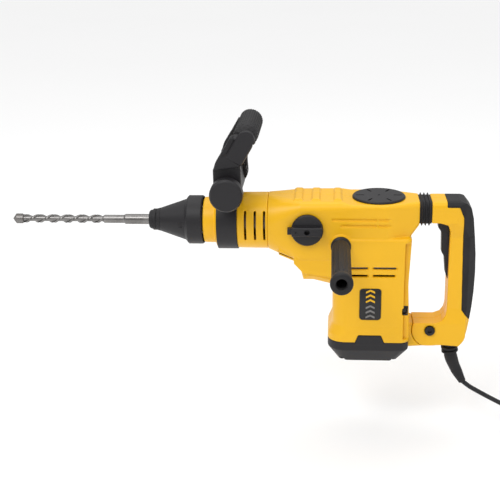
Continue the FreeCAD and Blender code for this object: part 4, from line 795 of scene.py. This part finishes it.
def cut_swivel_bore(piece):
    """Hole for the clamp bolt through both feet."""
    rod = lathe([(-90.0, 5.4), (90.0, 5.4)], Vector((SWIVEL_X, 0, SWIVEL_Z)), Vector((0, 1, 0)),
                Vector((1, 0, 0)), 48)
    drill = new_piece("swivel_drill", [rod], piece.data.materials[0], "d_handle")
    cut = piece.modifiers.new("bore", "BOOLEAN")
    cut.object = drill
    cut.solver = "EXACT"
    apply_modifiers(piece)
    bpy.data.objects.remove(drill)


# ---------------------------------------------------------------- side bar handle
BAR_X, BAR_Z = -189.3, 36.0
BAR_SIDES = 168


def make_bar_grip(finishes):
    """Ribbed soft sleeve with a domed root, a flared end and an open bore."""
    def ribs(angle, t):
        if not 6.0 < t < 134.0:
            return 0.0
        fade = min(1.0, (t - 6.0) / 3.0, (134.0 - t) / 5.0)
        return 0.9 * fade * max(0.0, math.cos(angle * 14.0)) ** 0.6

    profile = [(0.0, 9.1), (0.0, 11.6), (0.5, 12.4), (1.6, 13.1), (3.2, 13.5), (5.0, 13.6)]
    profile += [(6.0 + 2.0 * k, 13.6) for k in range(65)]
    profile += [(137.0, 13.8), (141.0, 14.4), (144.5, 15.3), (146.5, 16.0), (148.0, 16.4), (152.5, 16.4),
                (154.5, 15.9), (155.6, 14.9), (156.0, 13.6), (156.0, 9.6), (155.4, 8.6), (154.0, 8.0),
                (148.6, 8.0), (148.6, 9.1)]
    root = Vector((BAR_X, -57.5, BAR_Z))
    points, _ = lathe(profile, root, Vector((0, -1, 0)), Vector((1, 0, 0)), BAR_SIDES, ribs)
    shell = (points, closed_faces(len(profile), BAR_SIDES))
    new_piece("side_bar_grip", [shell], finishes["soft_rubber"], BODY, ["bar_handle_grip"])


# ---------------------------------------------------------------- bellows and cord guard
def rounded_ring(x, half, z0, z1, r, count=16):
    """Rounded rectangle across X."""
    ring = []
    cy, top, low = half - r, z1 - r, z0 + r
    for cy, cz, start in ((cy, top, 0), (-cy, top, 90), (-cy, low, 180), (cy, low, 270)):
        for k in range(count):
            t = math.radians(start + 90.0 * k / (count - 1))
            ring.append(Vector((x, cy + r * math.cos(t), cz + r * math.sin(t))))
    return ring


def make_bellows(finishes):
    """Three-rib rubber bellows between the housing and the handle."""
    x0, x1 = -69.3, -50.7
    ribs = 3
    rings = []
    steps = 60
    for k in range(steps + 1):
        t = k / steps
        wave = max(0.0, -math.cos(2 * math.pi * (t * (ribs + 0.35) - 0.18))) ** 0.8
        grow = 3.3 * wave * (1.0 if 0.06 < t < 0.94 else 0.0) - 0.3
        rings.append(rounded_ring(x0 + (x1 - x0) * t, 28.3 + grow, 62.8 - grow, 98.6 + grow, 10.0 + grow))
    for x in (x1, x0):
        rings.append(rounded_ring(x, 25.8, 65.3, 96.1, 7.5))
    points = [p for ring in rings for p in ring]
    faces = closed_faces(len(rings), len(rings[0]))
    piece = new_piece("handle_bellows", [(points, faces)], finishes["soft_rubber"], None,
                      ["bellows"])
    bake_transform(piece)


GUARD_LINE = [(-11.0, -126.5), (-11.0, -143.0), (-11.0, -154.0), (-7.5, -172.0), (0.5, -192.0),
              (12.3, -214.6)]
GUARD_R = [8.8, 9.6, 9.6, 10.4, 9.0, 6.2]
GUARD_RIBS = (-146.5, -153.0, -159.5)


def make_guard(finishes):
    """Strain relief: three collars under the handle, then a smooth taper down to the lead."""
    rings = []
    steps = 150
    spans = len(GUARD_LINE) - 1
    for k in range(steps + 1):
        u = spans * k / steps
        i = min(int(u), spans - 1)
        points = [Vector((*GUARD_LINE[min(max(i + j, 0), spans)], 0.0)) for j in (-1, 0, 1, 2)]
        f = u - i
        p = catmull(points, f)
        d = (catmull(points, min(f + 0.01, 1.0)) - catmull(points, max(f - 0.01, 0.0))).normalized()
        r = GUARD_R[i] + (GUARD_R[i + 1] - GUARD_R[i]) * smooth_step(f)
        for z in GUARD_RIBS:
            off = abs(p.y - z)
            if off < 2.0:
                r = max(r, 9.6 + 3.8 * min(1.0, (2.0 - off) / 0.5) ** 0.5)
        along = Vector((d.x, 0, d.y))
        side = Vector((0, 1, 0))
        rings.append(oval(Vector((p.x, 0, p.y)), side, along.cross(side), r, r, 2.0, 72))
    tip = rings[-1]
    middle = sum(tip, Vector()) / len(tip)
    onward = (rings[-1][0] - rings[-2][0]).normalized() * 0.5
    rings.append([middle + (p - middle) * 0.9 + onward for p in tip])
    new_piece("lead_guard", [shell_of(rings)], finishes["soft_rubber"], HANDLE, ["cord_guard"])


def catmull(points, f):
    """Point at share f between the middle two of four points on a smooth line."""
    a, b, c, d = points
    square = (2 * a - 5 * b + 4 * c - d) * f * f
    cube = (3 * b - a - 3 * c + d) * f ** 3
    return 0.5 * (2 * b + (c - a) * f + square + cube)


# ---------------------------------------------------------------- nameplate and marks
PLATE_X, PLATE_Z = -142.6, -60.0
PLATE_FACE = -51.6
FIELD_HALF_X, FIELD_HALF_Z = 14.6, 24.0
CHEVRON = ((-7.0, -3.5), (0.0, 0.0), (7.0, -3.5), (7.0, -0.3), (0.0, 3.2), (-7.0, -0.3))


def make_marks(finishes):
    """Generic chevrons and a dark field on the nameplate, and a bezel for the speed dial."""
    for name, finish, rows in (("plate_chevrons_pale", "bright_steel", (-20.0, -12.0, -4.0)),
                               ("plate_chevrons_amber", "housing_yellow", (6.0, 14.0, 22.0))):
        parts = []
        for z in rows:
            outline = [(PLATE_X + x, PLATE_Z + z + rise) for x, rise in CHEVRON]
            parts.append(plate(outline, PLATE_FACE + 0.2, PLATE_FACE - 0.35, 0.12))
        new_piece(name, parts, finishes[finish], BODY)
    corners = [(PLATE_X + x * FIELD_HALF_X, PLATE_Z + z * FIELD_HALF_Z)
               for x, z in ((-1, -1), (1, -1), (1, 1), (-1, 1))]
    field = plate(corners, PLATE_FACE + 0.3, PLATE_FACE - 0.1, 0.12)
    new_piece("plate_field", [field], finishes["nameplate_black"], BODY)
    rim = []
    bars = ((-95.6, -93.4, -80.6, -65.0), (-85.6, -83.4, -80.6, -65.0), (-93.6, -85.4, -80.6, -78.4),
            (-93.6, -85.4, -67.2, -65.0))
    for x0, x1, z0, z1 in bars:
        rim.append(plate([(x0, z0), (x1, z0), (x1, z1), (x0, z1)], -41.2, -43.8, 0.3))
    new_piece("dial_bezel", rim, finishes["nameplate_black"], BODY)


make_camera()
make_stage()
finishes = make_materials()
dress_nodes(finishes)
make_cord(finishes)
make_mouldings(finishes)
make_d_handle(finishes)
make_bar_grip(finishes)
make_bellows(finishes)
make_guard(finishes)
make_marks(finishes)
